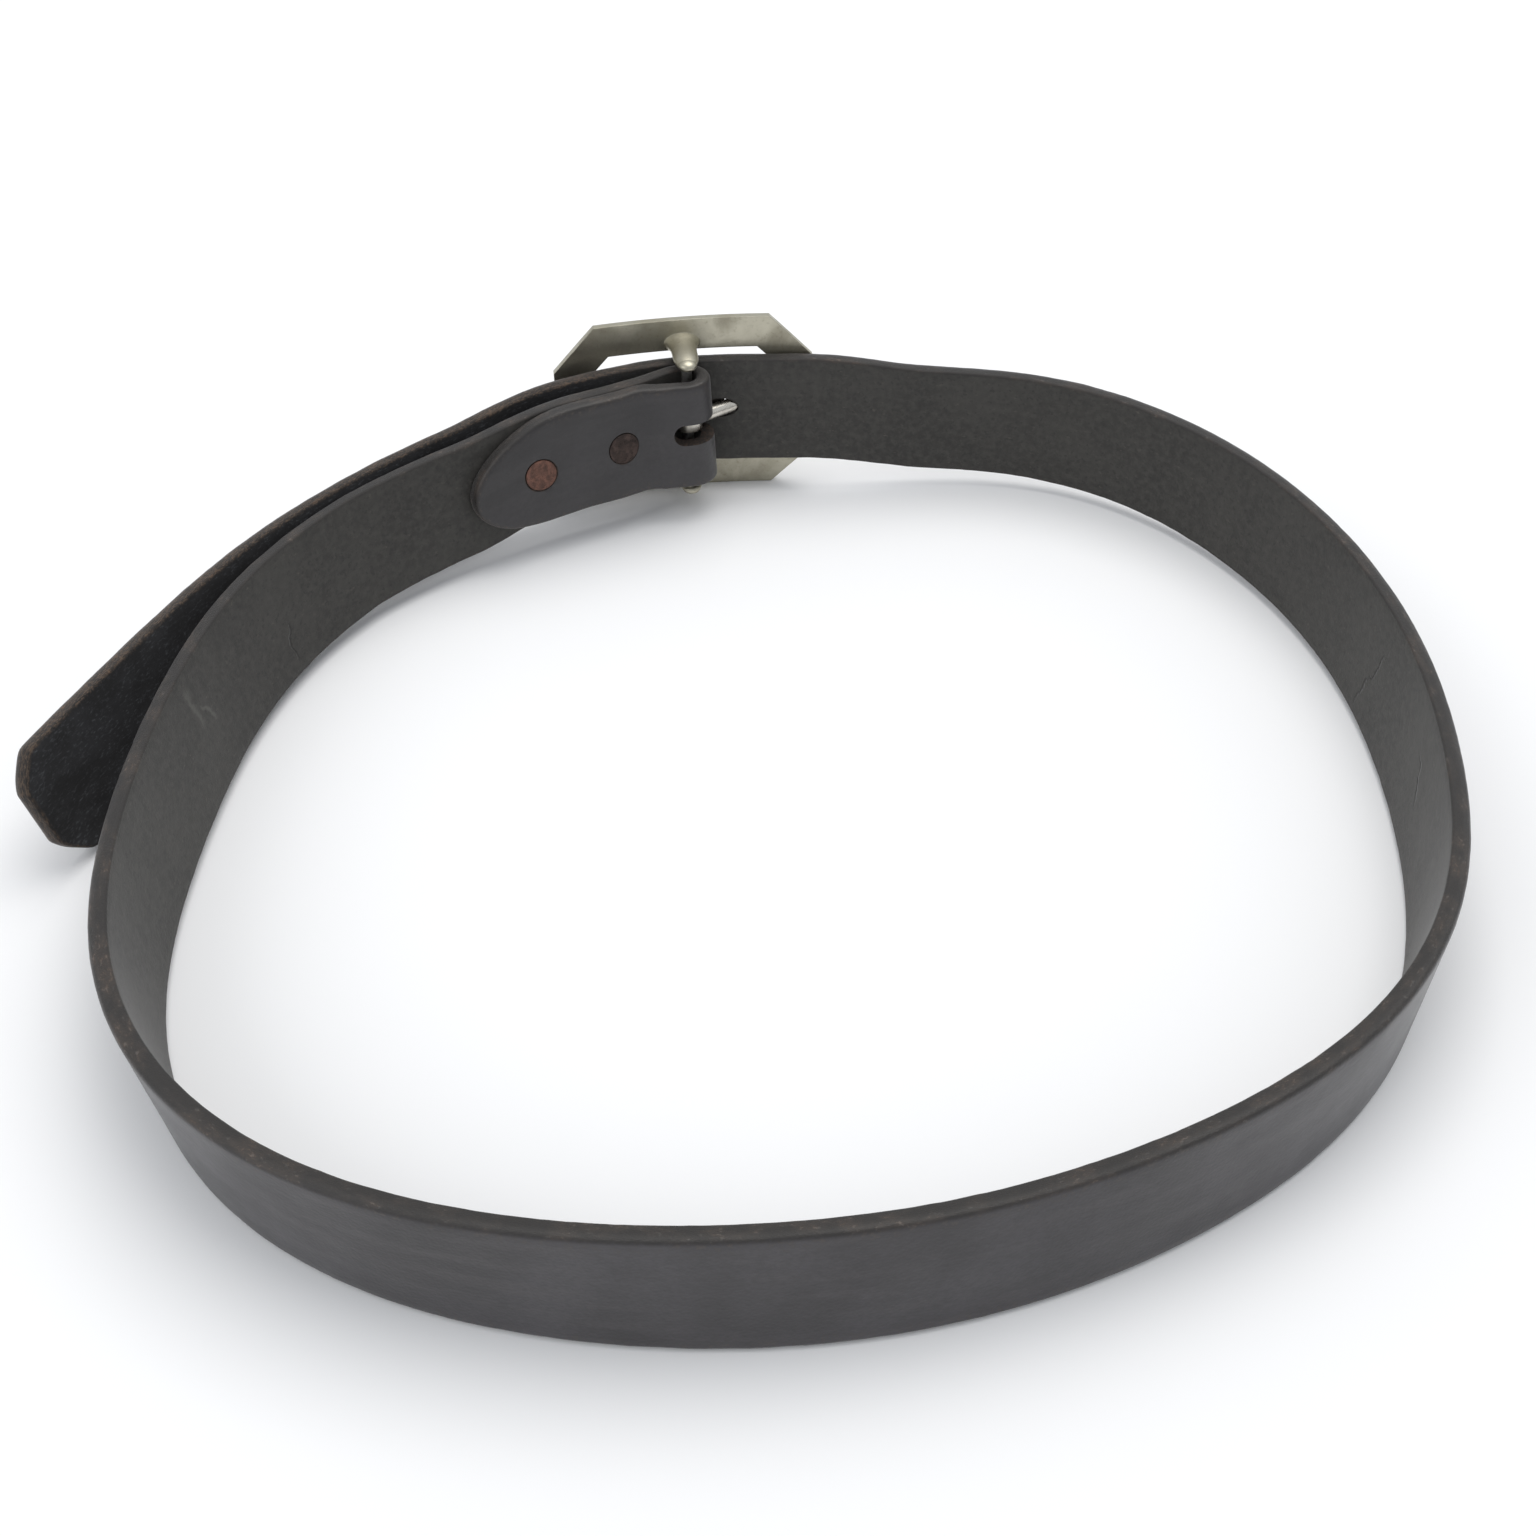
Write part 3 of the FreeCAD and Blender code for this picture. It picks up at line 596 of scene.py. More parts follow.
# ---------------------------------------------------------------- holes in the strap
def turned_cutter(name, centre, axis, profile):
    """Closed solid of revolution; profile is (height along the axis, radius) pairs."""
    mesh = bpy.data.meshes.new(name)
    turn = axis.normalized().to_track_quat("Z", "Y").to_matrix()
    points = []
    faces = []
    for height, radius in profile:
        for i in range(HOLE_SIDES):
            angle = 2.0 * math.pi * i / HOLE_SIDES
            local = Vector((radius * math.cos(angle), radius * math.sin(angle), height))
            points.append(to_row(centre + turn @ local))
    for ring in range(len(profile) - 1):
        for i in range(HOLE_SIDES):
            j = (i + 1) % HOLE_SIDES
            a, b = ring * HOLE_SIDES, (ring + 1) * HOLE_SIDES
            faces.append((a + i, a + j, b + j, b + i))
    faces.append(tuple(range(HOLE_SIDES - 1, -1, -1)))
    top = (len(profile) - 1) * HOLE_SIDES
    faces.append(tuple(range(top, top + HOLE_SIDES)))
    mesh.from_pydata(points, [], faces)
    return mesh


def flared_hole(radius, low, high):
    """Profile of a round hole between two faces, with rims rounded over at both."""
    steps = 4
    profile = [(low - CUT_SPARE, radius + HOLE_FLARE)]
    for i in range(steps + 1):
        turn = math.pi / 2.0 * i / steps
        wide = radius + HOLE_FLARE * (1.0 - math.sin(turn))
        profile.append((low + HOLE_FLARE * (1.0 - math.cos(turn)), wide))
    for i in range(steps + 1):
        turn = math.pi / 2.0 * (1.0 - i / steps)
        wide = radius + HOLE_FLARE * (1.0 - math.sin(turn))
        profile.append((high - HOLE_FLARE * (1.0 - math.cos(turn)), wide))
    profile.append((high + CUT_SPARE, radius + HOLE_FLARE))
    return profile


def used_hole_angle():
    """Loop angle where the prong crosses the middle of the outer layer."""
    angle = BUCKLE_ANGLE + FULL_TURN
    rise = PRONG_BEND_Y / PRONG_BEND_U
    while True:
        point = outer_station(angle)[0] - BAR
        if point.dot(OUT) < point.dot(ALONG) * rise:
            return angle
        angle -= WALK_STEP


def spare_hole_cutters():
    """Evenly spaced adjustment holes between the hole in use and the tip."""
    made = []
    angle = used_hole_angle()
    travelled = 0.0
    here = outer_station(angle)[0]
    while len(made) < SPARE_HOLES:
        angle += WALK_STEP
        there = outer_station(angle)[0]
        travelled += (there - here).length
        if travelled >= HOLE_SPACING:
            travelled -= HOLE_SPACING
            out = (there - here).cross(strap_up(angle)).normalized()
            half = STRAP_THICKNESS / 2.0
            profile = flared_hole(HOLE_DIAMETER / 2.0, -half, half)
            profile[0] = (-half - INNER_SPARE, profile[0][1])
            made.append(turned_cutter("hole_%d" % len(made), there, out, profile))
        here = there
    return made


def used_hole_cutter():
    turn = math.atan2(PRONG_BEND_Y, PRONG_BEND_U) + math.radians(USED_HOLE_TURN)
    axis = ALONG * math.cos(turn) + OUT * math.sin(turn)
    radius = USED_HOLE_DIAMETER / 2.0
    profile = [(USED_HOLE_START, radius), (USED_HOLE_START + USED_HOLE_REACH, radius)]
    return turned_cutter("used_hole", buckle_point(0.0, 0.0, PRONG_W), axis, profile)


def slot_cutter():
    """Long opening in the fold for the prong's eye, round at its closed end."""
    reach = FOLD_RADIUS + FOLD_THICKNESS
    half = SLOT_WIDTH / 2.0
    open_end = FOLD_U + reach + SLOT_OPEN
    outline = [Vector((open_end, -half)), Vector((open_end, half))]
    steps = 14
    for i in range(steps + 1):
        turn = math.pi / 2.0 + math.pi * i / steps
        outline.append(Vector((-SLOT_REACH + half * math.cos(turn), half * math.sin(turn))))
    points = []
    for y in (FOLD_Y - reach - CUT_SPARE, FOLD_Y + reach + SLOT_CLEAR):
        points += [to_row(buckle_point(u, y, w + PRONG_W)) for u, w in outline]
    count = len(outline)
    faces = [tuple(range(count)), tuple(range(2 * count - 1, count - 1, -1))]
    for i in range(count):
        j = (i + 1) % count
        faces.append((i, i + count, j + count, j))
    mesh = bpy.data.meshes.new("prong_slot")
    mesh.from_pydata(points, [], faces)
    return mesh


def rivet_axis(u):
    ahead = flap_station(u + 1.0)[0]
    here, up, thick = flap_station(u)
    out = (ahead - here).cross(up).normalized()
    if out.dot(OUT) < 0.0:
        out = -out
    return here - out * (thick / 2.0), out


def rivet_depth(u):
    start, out = rivet_axis(u)
    point, _, thick = leaf_station(angle_at(u))
    return (point - start).dot(out) + thick / 2.0


def rivet_cutter(u):
    """One stepped bore through both layers: head seat, shank and burr seat."""
    start, out = rivet_axis(u)
    depth = rivet_depth(u)
    head = (RIVET_HEAD + FIT_GAP) / 2.0
    shank = (RIVET_SHANK + FIT_GAP) / 2.0
    burr = (BURR_DIAMETER + FIT_GAP) / 2.0
    profile = [(-CUT_SPARE, head + HOLE_FLARE), (0.0, head + HOLE_FLARE),
               (0.3 * HOLE_FLARE, head + 0.6 * HOLE_FLARE), (0.7 * HOLE_FLARE, head + 0.25 * HOLE_FLARE),
               (1.2 * HOLE_FLARE, head), (RIVET_HEAD_SEAT, head), (RIVET_HEAD_SEAT, shank),
               (depth - BURR_SEAT, shank), (depth - BURR_SEAT, burr),
               (depth + LAYER_GAP / 2.0, burr)]
    return turned_cutter("rivet_seat", start, out, profile)


def cut_holes(strap, wall_material):
    """All holes are cut in one exact boolean; hole walls get the raw leather material."""
    meshes = spare_hole_cutters() + [used_hole_cutter(), slot_cutter()]
    meshes += [rivet_cutter(u) for u in RIVET_PLACES]
    joined = bmesh.new()
    for mesh in meshes:
        joined.from_mesh(mesh)
        bpy.data.meshes.remove(mesh)
    bmesh.ops.recalc_face_normals(joined, faces=joined.faces)
    tool_mesh = bpy.data.meshes.new("cutters")
    joined.to_mesh(tool_mesh)
    joined.free()
    tool_mesh.materials.append(wall_material)
    tool = bpy.data.objects.new("cutters", tool_mesh)
    bpy.context.scene.collection.objects.link(tool)
    modifier = strap.modifiers.new("holes", "BOOLEAN")
    modifier.operation = "DIFFERENCE"
    modifier.solver = "EXACT"
    modifier.use_self = True
    modifier.material_mode = "TRANSFER"
    modifier.object = tool
    bpy.context.view_layer.update()
    depsgraph = bpy.context.evaluated_depsgraph_get()
    cut = bpy.data.meshes.new_from_object(strap.evaluated_get(depsgraph))
    strap.modifiers.clear()
    strap.data = cut
    bpy.data.objects.remove(tool)
    bpy.data.meshes.remove(tool_mesh)


def smooth_but_for_corners(mesh, limit):
    """Smooth shading, split only where faces meet at more than the limit."""
    work = bmesh.new()
    work.from_mesh(mesh)
    for face in work.faces:
        face.smooth = True
    for edge in work.edges:
        sharp = len(edge.link_faces) == 2 and edge.calc_face_angle(0.0) > math.radians(limit)
        edge.smooth = not sharp
    work.to_mesh(mesh)
    work.free()


# ---------------------------------------------------------------- material helpers
def add_node(tree, kind, inputs=None, **settings):
    made = tree.nodes.new(kind)
    for key, value in settings.items():
        setattr(made, key, value)
    for key, value in (inputs or {}).items():
        connect(tree, value, made.inputs[key])
    return made


def connect(tree, value, socket):
    if isinstance(value, bpy.types.NodeSocket):
        tree.links.new(value, socket)
    else:
        socket.default_value = value


def maths(tree, operation, a, b=0.0):
    return add_node(tree, "ShaderNodeMath", {0: a, 1: b}, operation=operation).outputs[0]


def levels(tree, value, low, high, to_low=0.0, to_high=1.0):
    """Smooth step from to_low at low to to_high at high."""
    inputs = {0: value, 1: low, 2: high, 3: to_low, 4: to_high}
    made = add_node(tree, "ShaderNodeMapRange", inputs, interpolation_type="SMOOTHSTEP")
    return made.outputs[0]


def mixed(tree, share, a, b):
    made = add_node(tree, "ShaderNodeMix", data_type="RGBA")
    connect(tree, share, made.inputs[0])
    connect(tree, a, made.inputs[6])
    connect(tree, b, made.inputs[7])
    return made.outputs[2]


def noise_value(tree, where, scale, detail=3.0, rough=0.55, warp=0.0):
    inputs = {"Vector": where, "Scale": scale, "Detail": detail, "Roughness": rough,
              "Distortion": warp}
    return add_node(tree, "ShaderNodeTexNoise", inputs).outputs[0]


def cells(tree, where, scale, feature="F1"):
    inputs = {"Vector": where, "Scale": scale}
    return add_node(tree, "ShaderNodeTexVoronoi", inputs, feature=feature).outputs[0]


def stretched(tree, where, factors):
    inputs = {"Vector": where, "Scale": factors}
    return add_node(tree, "ShaderNodeMapping", inputs).outputs[0]


def colour(red, green, blue):
    return (red, green, blue, 1.0)


def bumped(tree, height, distance, strength=1.0, under=None):
    inputs = {"Strength": strength, "Distance": distance, "Height": height}
    if under is not None:
        inputs["Normal"] = under
    return add_node(tree, "ShaderNodeBump", inputs).outputs[0]


def new_material(name):
    material = bpy.data.materials.new(name)
    material.use_nodes = True
    tree = material.node_tree
    tree.nodes.clear()
    surface = tree.nodes.new("ShaderNodeBsdfPrincipled")
    output = tree.nodes.new("ShaderNodeOutputMaterial")
    tree.links.new(surface.outputs[0], output.inputs[0])
    return material, tree, surface


# ---------------------------------------------------------------- leather
# Marks on the rough side: loop angle, height above the middle, slant in degrees, length, width.
CREASES = ((158.4, -7.0, 100.0, 15.0, 0.9), (373.3, -3.0, 107.0, 29.0, 0.8), (357.0, 1.0, 39.0, 15.0, 0.7))
SCUFFS = ((175.6, 7.0, 92.0, 16.0, 1.6), (174.0, 2.0, 60.0, 11.0, 1.2))
TAIL_FROM = 112.0             # loop angle past which the outer layer is the free tail


def strap_space(tree):
    """The flat strap's own space: distance, across and depth, in metres, and the inset from the edge."""
    run = add_node(tree, "ShaderNodeUVMap", uv_map="run").outputs[0]
    skin = add_node(tree, "ShaderNodeUVMap", uv_map="skin").outputs[0]
    run_parts = add_node(tree, "ShaderNodeSeparateXYZ", {0: run})
    skin_parts = add_node(tree, "ShaderNodeSeparateXYZ", {0: skin})
    depth = maths(tree, "MULTIPLY", skin_parts.outputs[0], STRAP_THICKNESS * MM)
    where = add_node(tree, "ShaderNodeCombineXYZ",
                     {0: run_parts.outputs[0], 1: run_parts.outputs[1], 2: depth}).outputs[0]
    return {
        "where": where,
        "distance": run_parts.outputs[0],
        "across": run_parts.outputs[1],
        "depth": skin_parts.outputs[0],
        "inset": skin_parts.outputs[1],
    }


def strap_masks(tree, space):
    ragged = noise_value(tree, space["where"], 900.0, 3.0)
    inset = maths(tree, "ADD", space["inset"], maths(tree, "MULTIPLY", ragged, 0.0009))
    space["grain"] = levels(tree, space["depth"], -0.2, 0.75)
    space["edge"] = levels(tree, inset, 0.0017, 0.0006)
    space["near_edge"] = levels(tree, space["inset"], 0.0050, 0.0006)
    tail = RUN.place_of_angle(TAIL_FROM + FULL_TURN) * MM
    space["tail"] = levels(tree, space["distance"], tail - 0.025, tail + 0.015)
    # Mask of the flap, where painted shade darkens the smooth side
    space["flap"] = levels(tree, space["distance"], FOLD_PLACE * MM + 0.030, FOLD_PLACE * MM)
    return space


def line_mark(tree, space, mark):
    """Soft-edged mark on the strap: 1 along a short wavering line, 0 elsewhere."""
    angle, across, slant, length, width = mark
    turn = math.radians(slant)
    wander = noise_value(tree, space["where"], 160.0, 3.0)
    wander = maths(tree, "MULTIPLY", maths(tree, "SUBTRACT", wander, 0.5), 0.006)
    x = maths(tree, "SUBTRACT", space["distance"], RUN.place_of_angle(angle) * MM)
    y = maths(tree, "SUBTRACT", space["across"], across * MM)
    along = maths(tree, "ADD", maths(tree, "MULTIPLY", x, math.cos(turn)),
                  maths(tree, "MULTIPLY", y, math.sin(turn)))
    aside = maths(tree, "SUBTRACT", maths(tree, "MULTIPLY", y, math.cos(turn)),
                  maths(tree, "MULTIPLY", x, math.sin(turn)))
    aside = maths(tree, "ABSOLUTE", maths(tree, "ADD", aside, wander))
    within = levels(tree, maths(tree, "ABSOLUTE", along), length * MM / 2.0, length * MM / 5.0)
    return maths(tree, "MULTIPLY", within, levels(tree, aside, width * MM, 0.0))


def all_marks(tree, space, marks):
    total = line_mark(tree, space, marks[0])
    for mark in marks[1:]:
        total = maths(tree, "MAXIMUM", total, line_mark(tree, space, mark))
    return total


def grain_colour(tree, space):
    """Smooth side: near-black with a brown cast and cloudy, handled patches, and painted shade darkening
    the flap.
    """
    clouds = noise_value(tree, space["where"], 22.0, 4.0, 0.6)
    streaks = noise_value(tree, stretched(tree, space["where"], (26.0, 210.0, 90.0)), 1.0, 4.0)
    fine = noise_value(tree, space["where"], 700.0, 3.0, 0.6)
    base = mixed(tree, levels(tree, clouds, 0.35, 0.68), colour(0.025, 0.022, 0.024),
                 colour(0.047, 0.043, 0.048))
    base = mixed(tree, levels(tree, streaks, 0.45, 0.72, 0.0, 0.5), base,
                 colour(0.060, 0.054, 0.057))
    base = mixed(tree, levels(tree, fine, 0.3, 0.75, 0.0, 0.35), base, colour(0.016, 0.015, 0.015))
    # Painted shade: the flap lies back behind the buckle and gets less light, so its colour is darkened
    # here
    base = mixed(tree, maths(tree, "MULTIPLY", space["flap"], 0.5), base, colour(0.016, 0.015, 0.0145))
    rubbed = maths(tree, "MULTIPLY", space["near_edge"], levels(tree, fine, 0.50, 0.70, 0.0, 0.5))
    return mixed(tree, rubbed, base, colour(0.070, 0.054, 0.044))


def suede_colour(tree, space):
    """Rough side of the tail: almost black nap with pale grey lint."""
    clouds = noise_value(tree, stretched(tree, space["where"], (60.0, 140.0, 90.0)), 1.0, 4.0, 0.6)
    lint = noise_value(tree, stretched(tree, space["where"], (700.0, 1700.0, 900.0)), 1.0, 4.0, 0.65)
    base = mixed(tree, levels(tree, clouds, 0.35, 0.7), colour(0.0085, 0.008, 0.0085),
                 colour(0.022, 0.022, 0.024))
    patchy = levels(tree, clouds, 0.3, 0.7, 0.2, 0.75)
    shown = maths(tree, "MULTIPLY", levels(tree, lint, 0.52, 0.72), patchy)
    return mixed(tree, shown, base, colour(0.095, 0.10, 0.108))


def flesh_colour(tree, space):
    """Rough side: charcoal brown with a fine mottle and rubbed, lighter flecks, and crease lines painted
    dark as shade.
    """
    clouds = noise_value(tree, space["where"], 35.0, 5.0, 0.62)
    mottle = noise_value(tree, space["where"], 420.0, 4.0, 0.65)
    flecks = noise_value(tree, stretched(tree, space["where"], (520.0, 900.0, 900.0)), 1.0, 2.0)
    base = mixed(tree, levels(tree, clouds, 0.35, 0.7), colour(0.018, 0.0165, 0.014),
                 colour(0.031, 0.029, 0.025))
    base = mixed(tree, levels(tree, mottle, 0.35, 0.7, 0.0, 0.75), base,
                 colour(0.043, 0.040, 0.035))
    pits = noise_value(tree, space["where"], 760.0, 2.0, 0.6)
    base = mixed(tree, levels(tree, pits, 0.56, 0.70, 0.0, 0.6), base, colour(0.012, 0.011, 0.010))
    base = mixed(tree, levels(tree, flecks, 0.64, 0.80, 0.0, 0.5), base,
                 colour(0.085, 0.074, 0.062))
    # Painted shade: the crease lines are painted dark, besides being pressed in by the bump
    base = mixed(tree, maths(tree, "MULTIPLY", all_marks(tree, space, CREASES), 0.75), base,
                 colour(0.012, 0.010, 0.009))
    base = mixed(tree, maths(tree, "MULTIPLY", all_marks(tree, space, SCUFFS), 0.30), base,
                 colour(0.15, 0.15, 0.13))
    return mixed(tree, space["tail"], base, suede_colour(tree, space))


def edge_colour(tree, space):
    """Cut edge: black-brown and burnished, with grey flecks painted on as glossy glints (painted
    highlights), fuzzy and worn to tan on the tail.
    """
    blotches = noise_value(tree, space["where"], 130.0, 4.0, 0.6)
    spots = noise_value(tree, space["where"], 640.0, 3.0, 0.65)
    fuzz = noise_value(tree, stretched(tree, space["where"], (900.0, 500.0, 1600.0)), 1.0, 3.0, 0.7)
    base = mixed(tree, levels(tree, blotches, 0.4, 0.7), colour(0.017, 0.0145, 0.013),
                 colour(0.036, 0.028, 0.023))
    # Painted highlight: grey flecks stand in for glossy glints on the burnished edge
    painted_glint_flecks = maths(tree, "MULTIPLY", levels(tree, spots, 0.58, 0.70), levels(tree, blotches, 0.42, 0.6))
    base = mixed(tree, maths(tree, "MULTIPLY", painted_glint_flecks, 0.5), base, colour(0.115, 0.110, 0.105))
    tan = maths(tree, "MULTIPLY", levels(tree, blotches, 0.50, 0.68), levels(tree, spots, 0.50, 0.66))
    tan = maths(tree, "MULTIPLY", tan, levels(tree, space["tail"], 0.0, 1.0, 0.22, 0.7))
    base = mixed(tree, tan, base, colour(0.17, 0.095, 0.052))
    worn = maths(tree, "MULTIPLY", space["tail"], levels(tree, fuzz, 0.44, 0.64))
    return mixed(tree, maths(tree, "MULTIPLY", worn, 0.75), base, colour(0.115, 0.078, 0.054))


def leather_height(tree, space):
    """Pores and creases of the smooth side, nap of the rough side, in one height."""
    pores = cells(tree, space["where"], 1150.0)
    wrinkles = noise_value(tree, stretched(tree, space["where"], (330.0, 620.0, 500.0)), 1.0, 5.0, 0.6)
    nap = noise_value(tree, space["where"], 1500.0, 4.0, 0.7)
    lumps = noise_value(tree, space["where"], 300.0, 4.0, 0.6)
    smooth = maths(tree, "ADD", maths(tree, "MULTIPLY", pores, 0.25),
                   maths(tree, "MULTIPLY", wrinkles, 0.6))
    rough = maths(tree, "ADD", maths(tree, "MULTIPLY", nap, 0.9), maths(tree, "MULTIPLY", lumps, 0.8))
    rough = maths(tree, "SUBTRACT", rough, maths(tree, "MULTIPLY", all_marks(tree, space, CREASES), 2.2))
    parts = add_node(tree, "ShaderNodeMix", data_type="FLOAT")
    connect(tree, space["grain"], parts.inputs[0])
    connect(tree, rough, parts.inputs[2])
    connect(tree, smooth, parts.inputs[3])
    fuzzy = maths(tree, "MULTIPLY", maths(tree, "MULTIPLY", nap, space["edge"]), 1.2)
    return maths(tree, "ADD", parts.outputs[0], fuzzy)


def leather_material():
    material, tree, surface = new_material("belt_leather")
    space = strap_masks(tree, strap_space(tree))
    faces = mixed(tree, space["grain"], flesh_colour(tree, space), grain_colour(tree, space))
    tone = mixed(tree, space["edge"], faces, edge_colour(tree, space))
    tree.links.new(tone, surface.inputs["Base Color"])
    sheen_patches = noise_value(tree, space["where"], 30.0, 4.0, 0.6)
    smooth_rough = levels(tree, sheen_patches, 0.3, 0.7, 0.34, 0.50)
    rough_rough = levels(tree, space["tail"], 0.0, 1.0, 0.62, 0.92)
    roughness = add_node(tree, "ShaderNodeMix", data_type="FLOAT")
    connect(tree, space["grain"], roughness.inputs[0])
    connect(tree, rough_rough, roughness.inputs[2])
    connect(tree, smooth_rough, roughness.inputs[3])
    tree.links.new(roughness.outputs[0], surface.inputs["Roughness"])
    surface.inputs["Specular IOR Level"].default_value = 0.5
    surface.inputs["Sheen Weight"].default_value = 0.14
    surface.inputs["Sheen Roughness"].default_value = 0.4
    height = leather_height(tree, space)
    tree.links.new(bumped(tree, height, 0.00012, 0.8), surface.inputs["Normal"])
    return material


def raw_leather_material():
    """Walls of punched holes."""
    material, tree, surface = new_material("raw_leather")
    where = add_node(tree, "ShaderNodeTexCoord").outputs["Object"]
    fibres = noise_value(tree, where, 900.0, 4.0, 0.65)
    tone = mixed(tree, levels(tree, fibres, 0.35, 0.7), colour(0.014, 0.011, 0.010),
                 colour(0.055, 0.036, 0.025))
    tree.links.new(tone, surface.inputs["Base Color"])
    surface.inputs["Roughness"].default_value = 0.8
    tree.links.new(bumped(tree, fibres, 0.0002, 0.7), surface.inputs["Normal"])
    return material


# ---------------------------------------------------------------- metal
def metal_material(name, clean, dull, dirt, roughness, patch_scale, dirt_share):
    """Handled metal: cloudy tarnish, fine scratches and dirt in scattered specks."""
    material, tree, surface = new_material(name)
    where = add_node(tree, "ShaderNodeTexCoord").outputs["Object"]
    patches = noise_value(tree, where, patch_scale, 5.0, 0.62, 0.4)
    specks = noise_value(tree, where, patch_scale * 9.0, 4.0, 0.65)
    scratches = noise_value(tree, stretched(tree, where, (260.0, 260.0, 2600.0)), 1.0, 3.0, 0.6)
    tone = mixed(tree, levels(tree, patches, 0.32, 0.68), clean, dull)
    grime = maths(tree, "MULTIPLY", levels(tree, specks, 0.52, 0.74), dirt_share)
    tone = mixed(tree, grime, tone, dirt)
    tree.links.new(tone, surface.inputs["Base Color"])
    surface.inputs["Metallic"].default_value = 1.0
    blur = maths(tree, "ADD", levels(tree, patches, 0.3, 0.7, roughness - 0.07, roughness + 0.10),
                 maths(tree, "MULTIPLY", grime, 0.25))
    tree.links.new(blur, surface.inputs["Roughness"])
    height = maths(tree, "ADD", maths(tree, "MULTIPLY", scratches, 0.35),
                   maths(tree, "MULTIPLY", specks, 0.8))
    rounded = add_node(tree, "ShaderNodeBevel", {"Radius": 0.0004}, samples=4).outputs[0]
    tree.links.new(bumped(tree, height, 0.00006, 0.6, rounded), surface.inputs["Normal"])
    return material


def frame_metal():
    return metal_material("aged_nickel", colour(0.50, 0.475, 0.385), colour(0.37, 0.345, 0.27),
                          colour(0.20, 0.175, 0.13), 0.40, 85.0, 0.30)


def prong_metal():
    return metal_material("worn_prong", colour(0.70, 0.67, 0.61), colour(0.50, 0.47, 0.41),
                          colour(0.20, 0.17, 0.14), 0.30, 170.0, 0.25)


def bar_metal():
    return metal_material("plain_steel", colour(0.46, 0.45, 0.43), colour(0.32, 0.31, 0.29),
                          colour(0.12, 0.10, 0.09), 0.45, 120.0, 0.4)


def rivet_metal(name, clean, dull):
    """Old copper, black where dirt sits."""
    return metal_material(name, clean, dull, colour(0.02, 0.016, 0.014), 0.5, 260.0, 0.6)


def bright_copper():
    return rivet_metal("worn_copper", colour(0.20, 0.105, 0.08), colour(0.10, 0.064, 0.054))


def dark_copper():
    return rivet_metal("blackened_copper", colour(0.085, 0.062, 0.055), colour(0.048, 0.038, 0.035))


def paint_cad_nodes():
    """Carried-over frame parts get their own materials."""
    dark = dark_copper()
    materials = {
        "buckle_frame": frame_metal(),
        "center_bar": bar_metal(),
        "prong": prong_metal(),
        "rivet_flap": bright_copper(),
    }
    for node, part in frame["nodes"].items():
        if node == "strap":
            continue
        part.data.materials.clear()
        part.data.materials.append(materials.get(node, dark))


# ---------------------------------------------------------------- the strap as a piece
def make_strap():
    leather = leather_material()
    raw = raw_leather_material()
    strap = bpy.data.objects.new("leather_strap", strap_mesh(FlatStrap()))
    bpy.context.scene.collection.objects.link(strap)
    strap.data.materials.append(leather)
    cut_holes(strap, raw)
    smooth_but_for_corners(strap.data, CORNER_LIMIT)
    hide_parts("strap")
    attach(strap, "strap_body")
    return strap


# ---------------------------------------------------------------- floor, light and camera
CAMERA_ELEVATION = 42.5
CAMERA_DISTANCE = 546.0
CAMERA_FOCUS = (24.6, -125.8)     # ground point it looks at, from the bar
CAMERA_LENS = 46.875


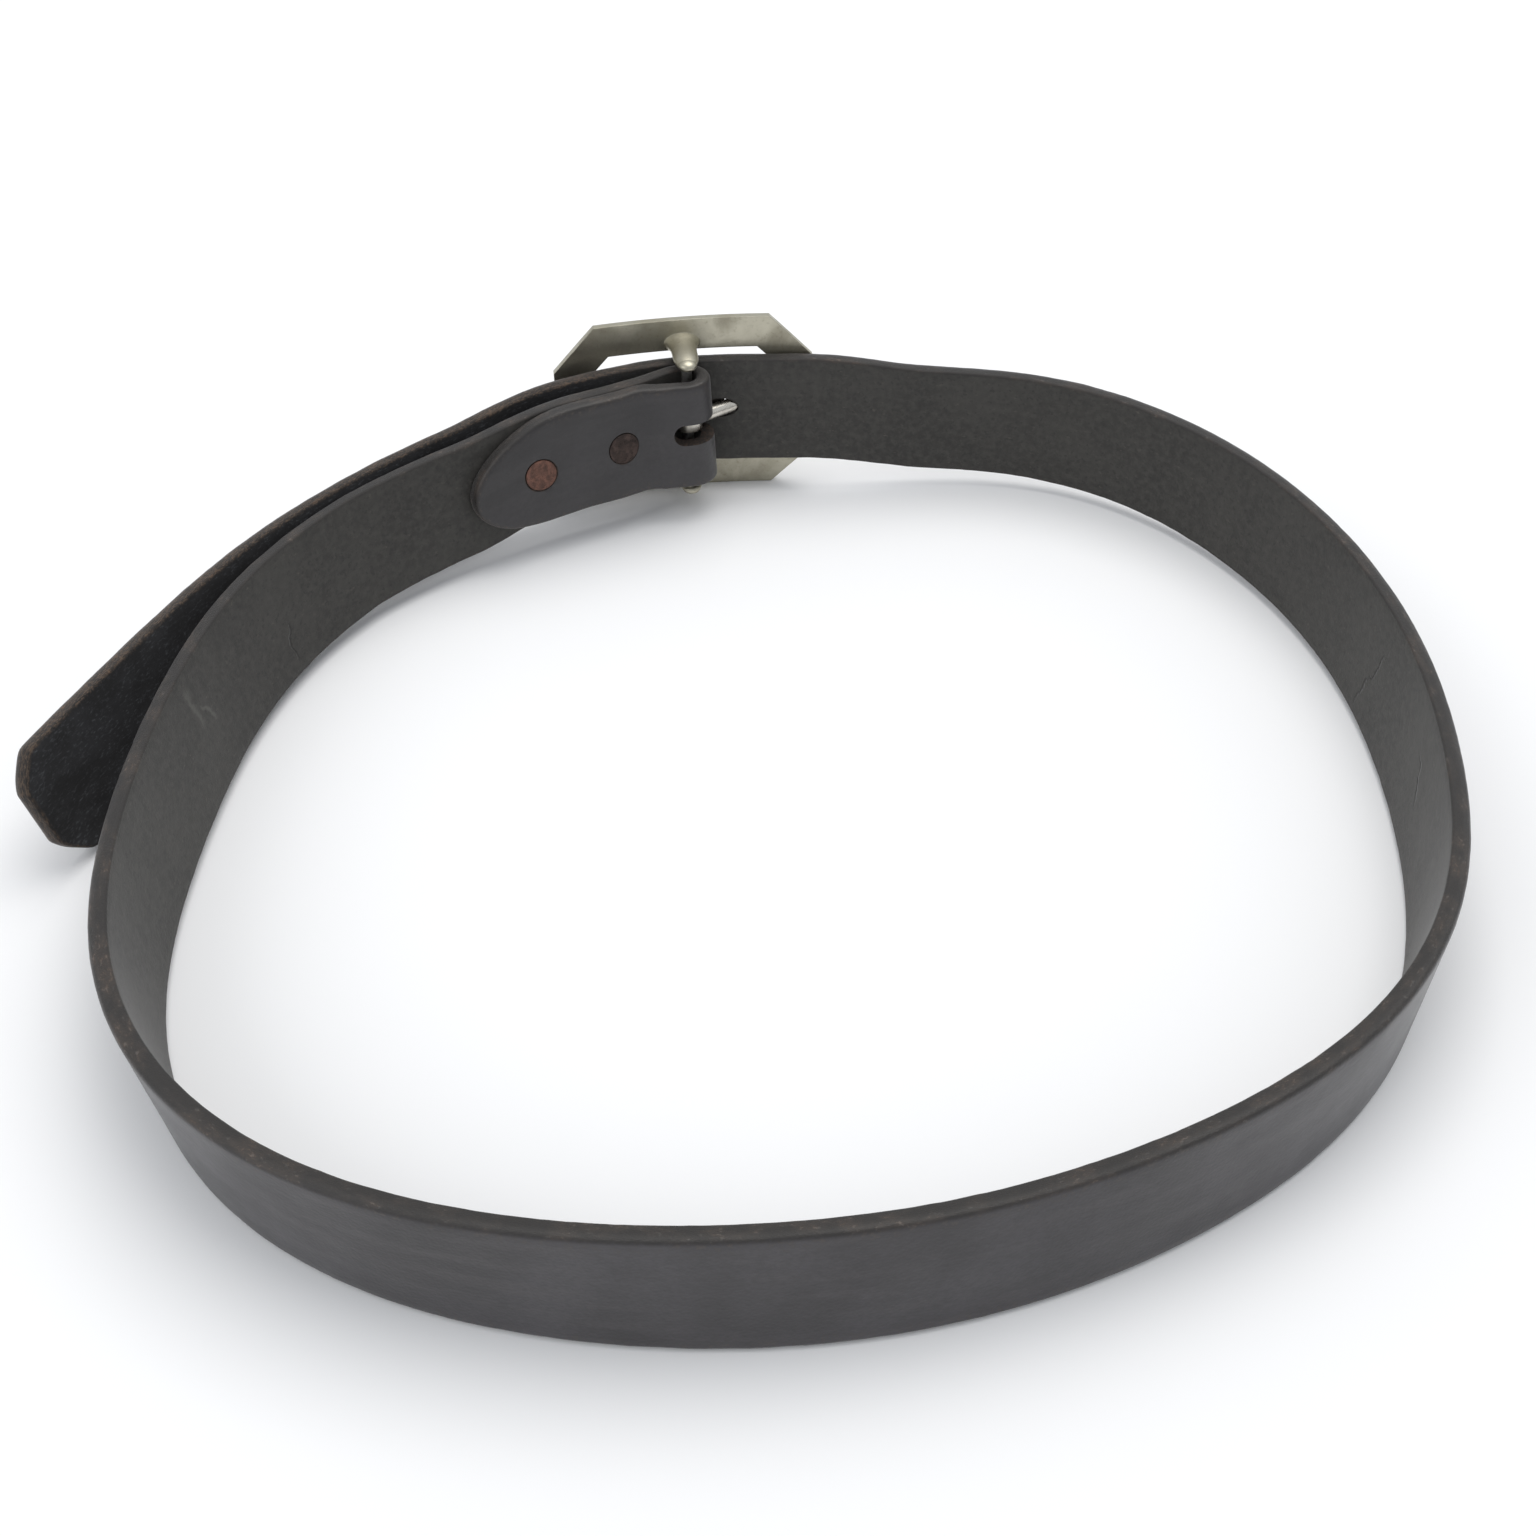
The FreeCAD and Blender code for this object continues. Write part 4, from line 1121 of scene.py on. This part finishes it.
def make_floor():
    size = 4.0
    mesh = bpy.data.meshes.new("floor")
    corners = [(-size, -size, 0.0), (size, -size, 0.0), (size, size, 0.0), (-size, size, 0.0)]
    mesh.from_pydata(corners, [], [(0, 1, 2, 3)])
    floor = bpy.data.objects.new("floor", mesh)
    bpy.context.scene.collection.objects.link(floor)
    material, tree, surface = new_material("pale_floor")
    where = add_node(tree, "ShaderNodeTexCoord").outputs["Object"]
    soft = noise_value(tree, where, 3.0, 2.0)
    tone = mixed(tree, soft, colour(0.90, 0.90, 0.905), colour(0.93, 0.93, 0.935))
    tree.links.new(tone, surface.inputs["Base Color"])
    surface.inputs["Roughness"].default_value = 0.9
    mesh.materials.append(material)


def area_light(name, place, target, size, power, tint):
    data = bpy.data.lights.new(name, "AREA")
    data.shape = "SQUARE"
    data.size = size
    data.energy = power
    data.color = tint
    light = bpy.data.objects.new(name, data)
    bpy.context.scene.collection.objects.link(light)
    light.location = place
    light.rotation_euler = (Vector(target) - Vector(place)).to_track_quat("-Z", "Y").to_euler()


def make_light():
    world = bpy.data.worlds.new("soft_room")
    bpy.context.scene.world = world
    world.use_nodes = True
    back = world.node_tree.nodes["Background"]
    back.inputs[0].default_value = (0.93, 0.96, 1.0, 1.0)
    back.inputs[1].default_value = 0.71
    area_light("overhead", (0.25, 0.5, 1.7), (0.0, 0.0, 0.0), 1.5, 17.0, (1.0, 0.98, 0.95))
    area_light("front_left", (-1.3, -0.9, 1.2), (0.0, 0.0, 0.0), 1.2, 6.5, (1.0, 1.0, 1.0))


def make_camera():
    data = bpy.data.cameras.new("camera")
    data.lens = CAMERA_LENS
    data.sensor_width = 36.0
    data.clip_start = 0.02
    camera = bpy.data.objects.new("camera", data)
    bpy.context.scene.collection.objects.link(camera)
    tilt = math.radians(CAMERA_ELEVATION)
    aim = Vector((BAR_ROW.x + CAMERA_FOCUS[0], BAR_ROW.y + CAMERA_FOCUS[1], 0.0))
    back = Vector((0.0, -math.cos(tilt), math.sin(tilt))) * CAMERA_DISTANCE
    camera.location = (aim + back) * MM
    camera.rotation_euler = (math.pi / 2.0 - tilt, 0.0, 0.0)
    bpy.context.scene.camera = camera


def set_tone():
    """Plain display colours, so that the pale floor stays pale."""
    bpy.context.scene.view_settings.view_transform = "Standard"
    bpy.context.scene.view_settings.look = "None"


paint_cad_nodes()
make_strap()
make_floor()
make_light()
make_camera()
set_tone()
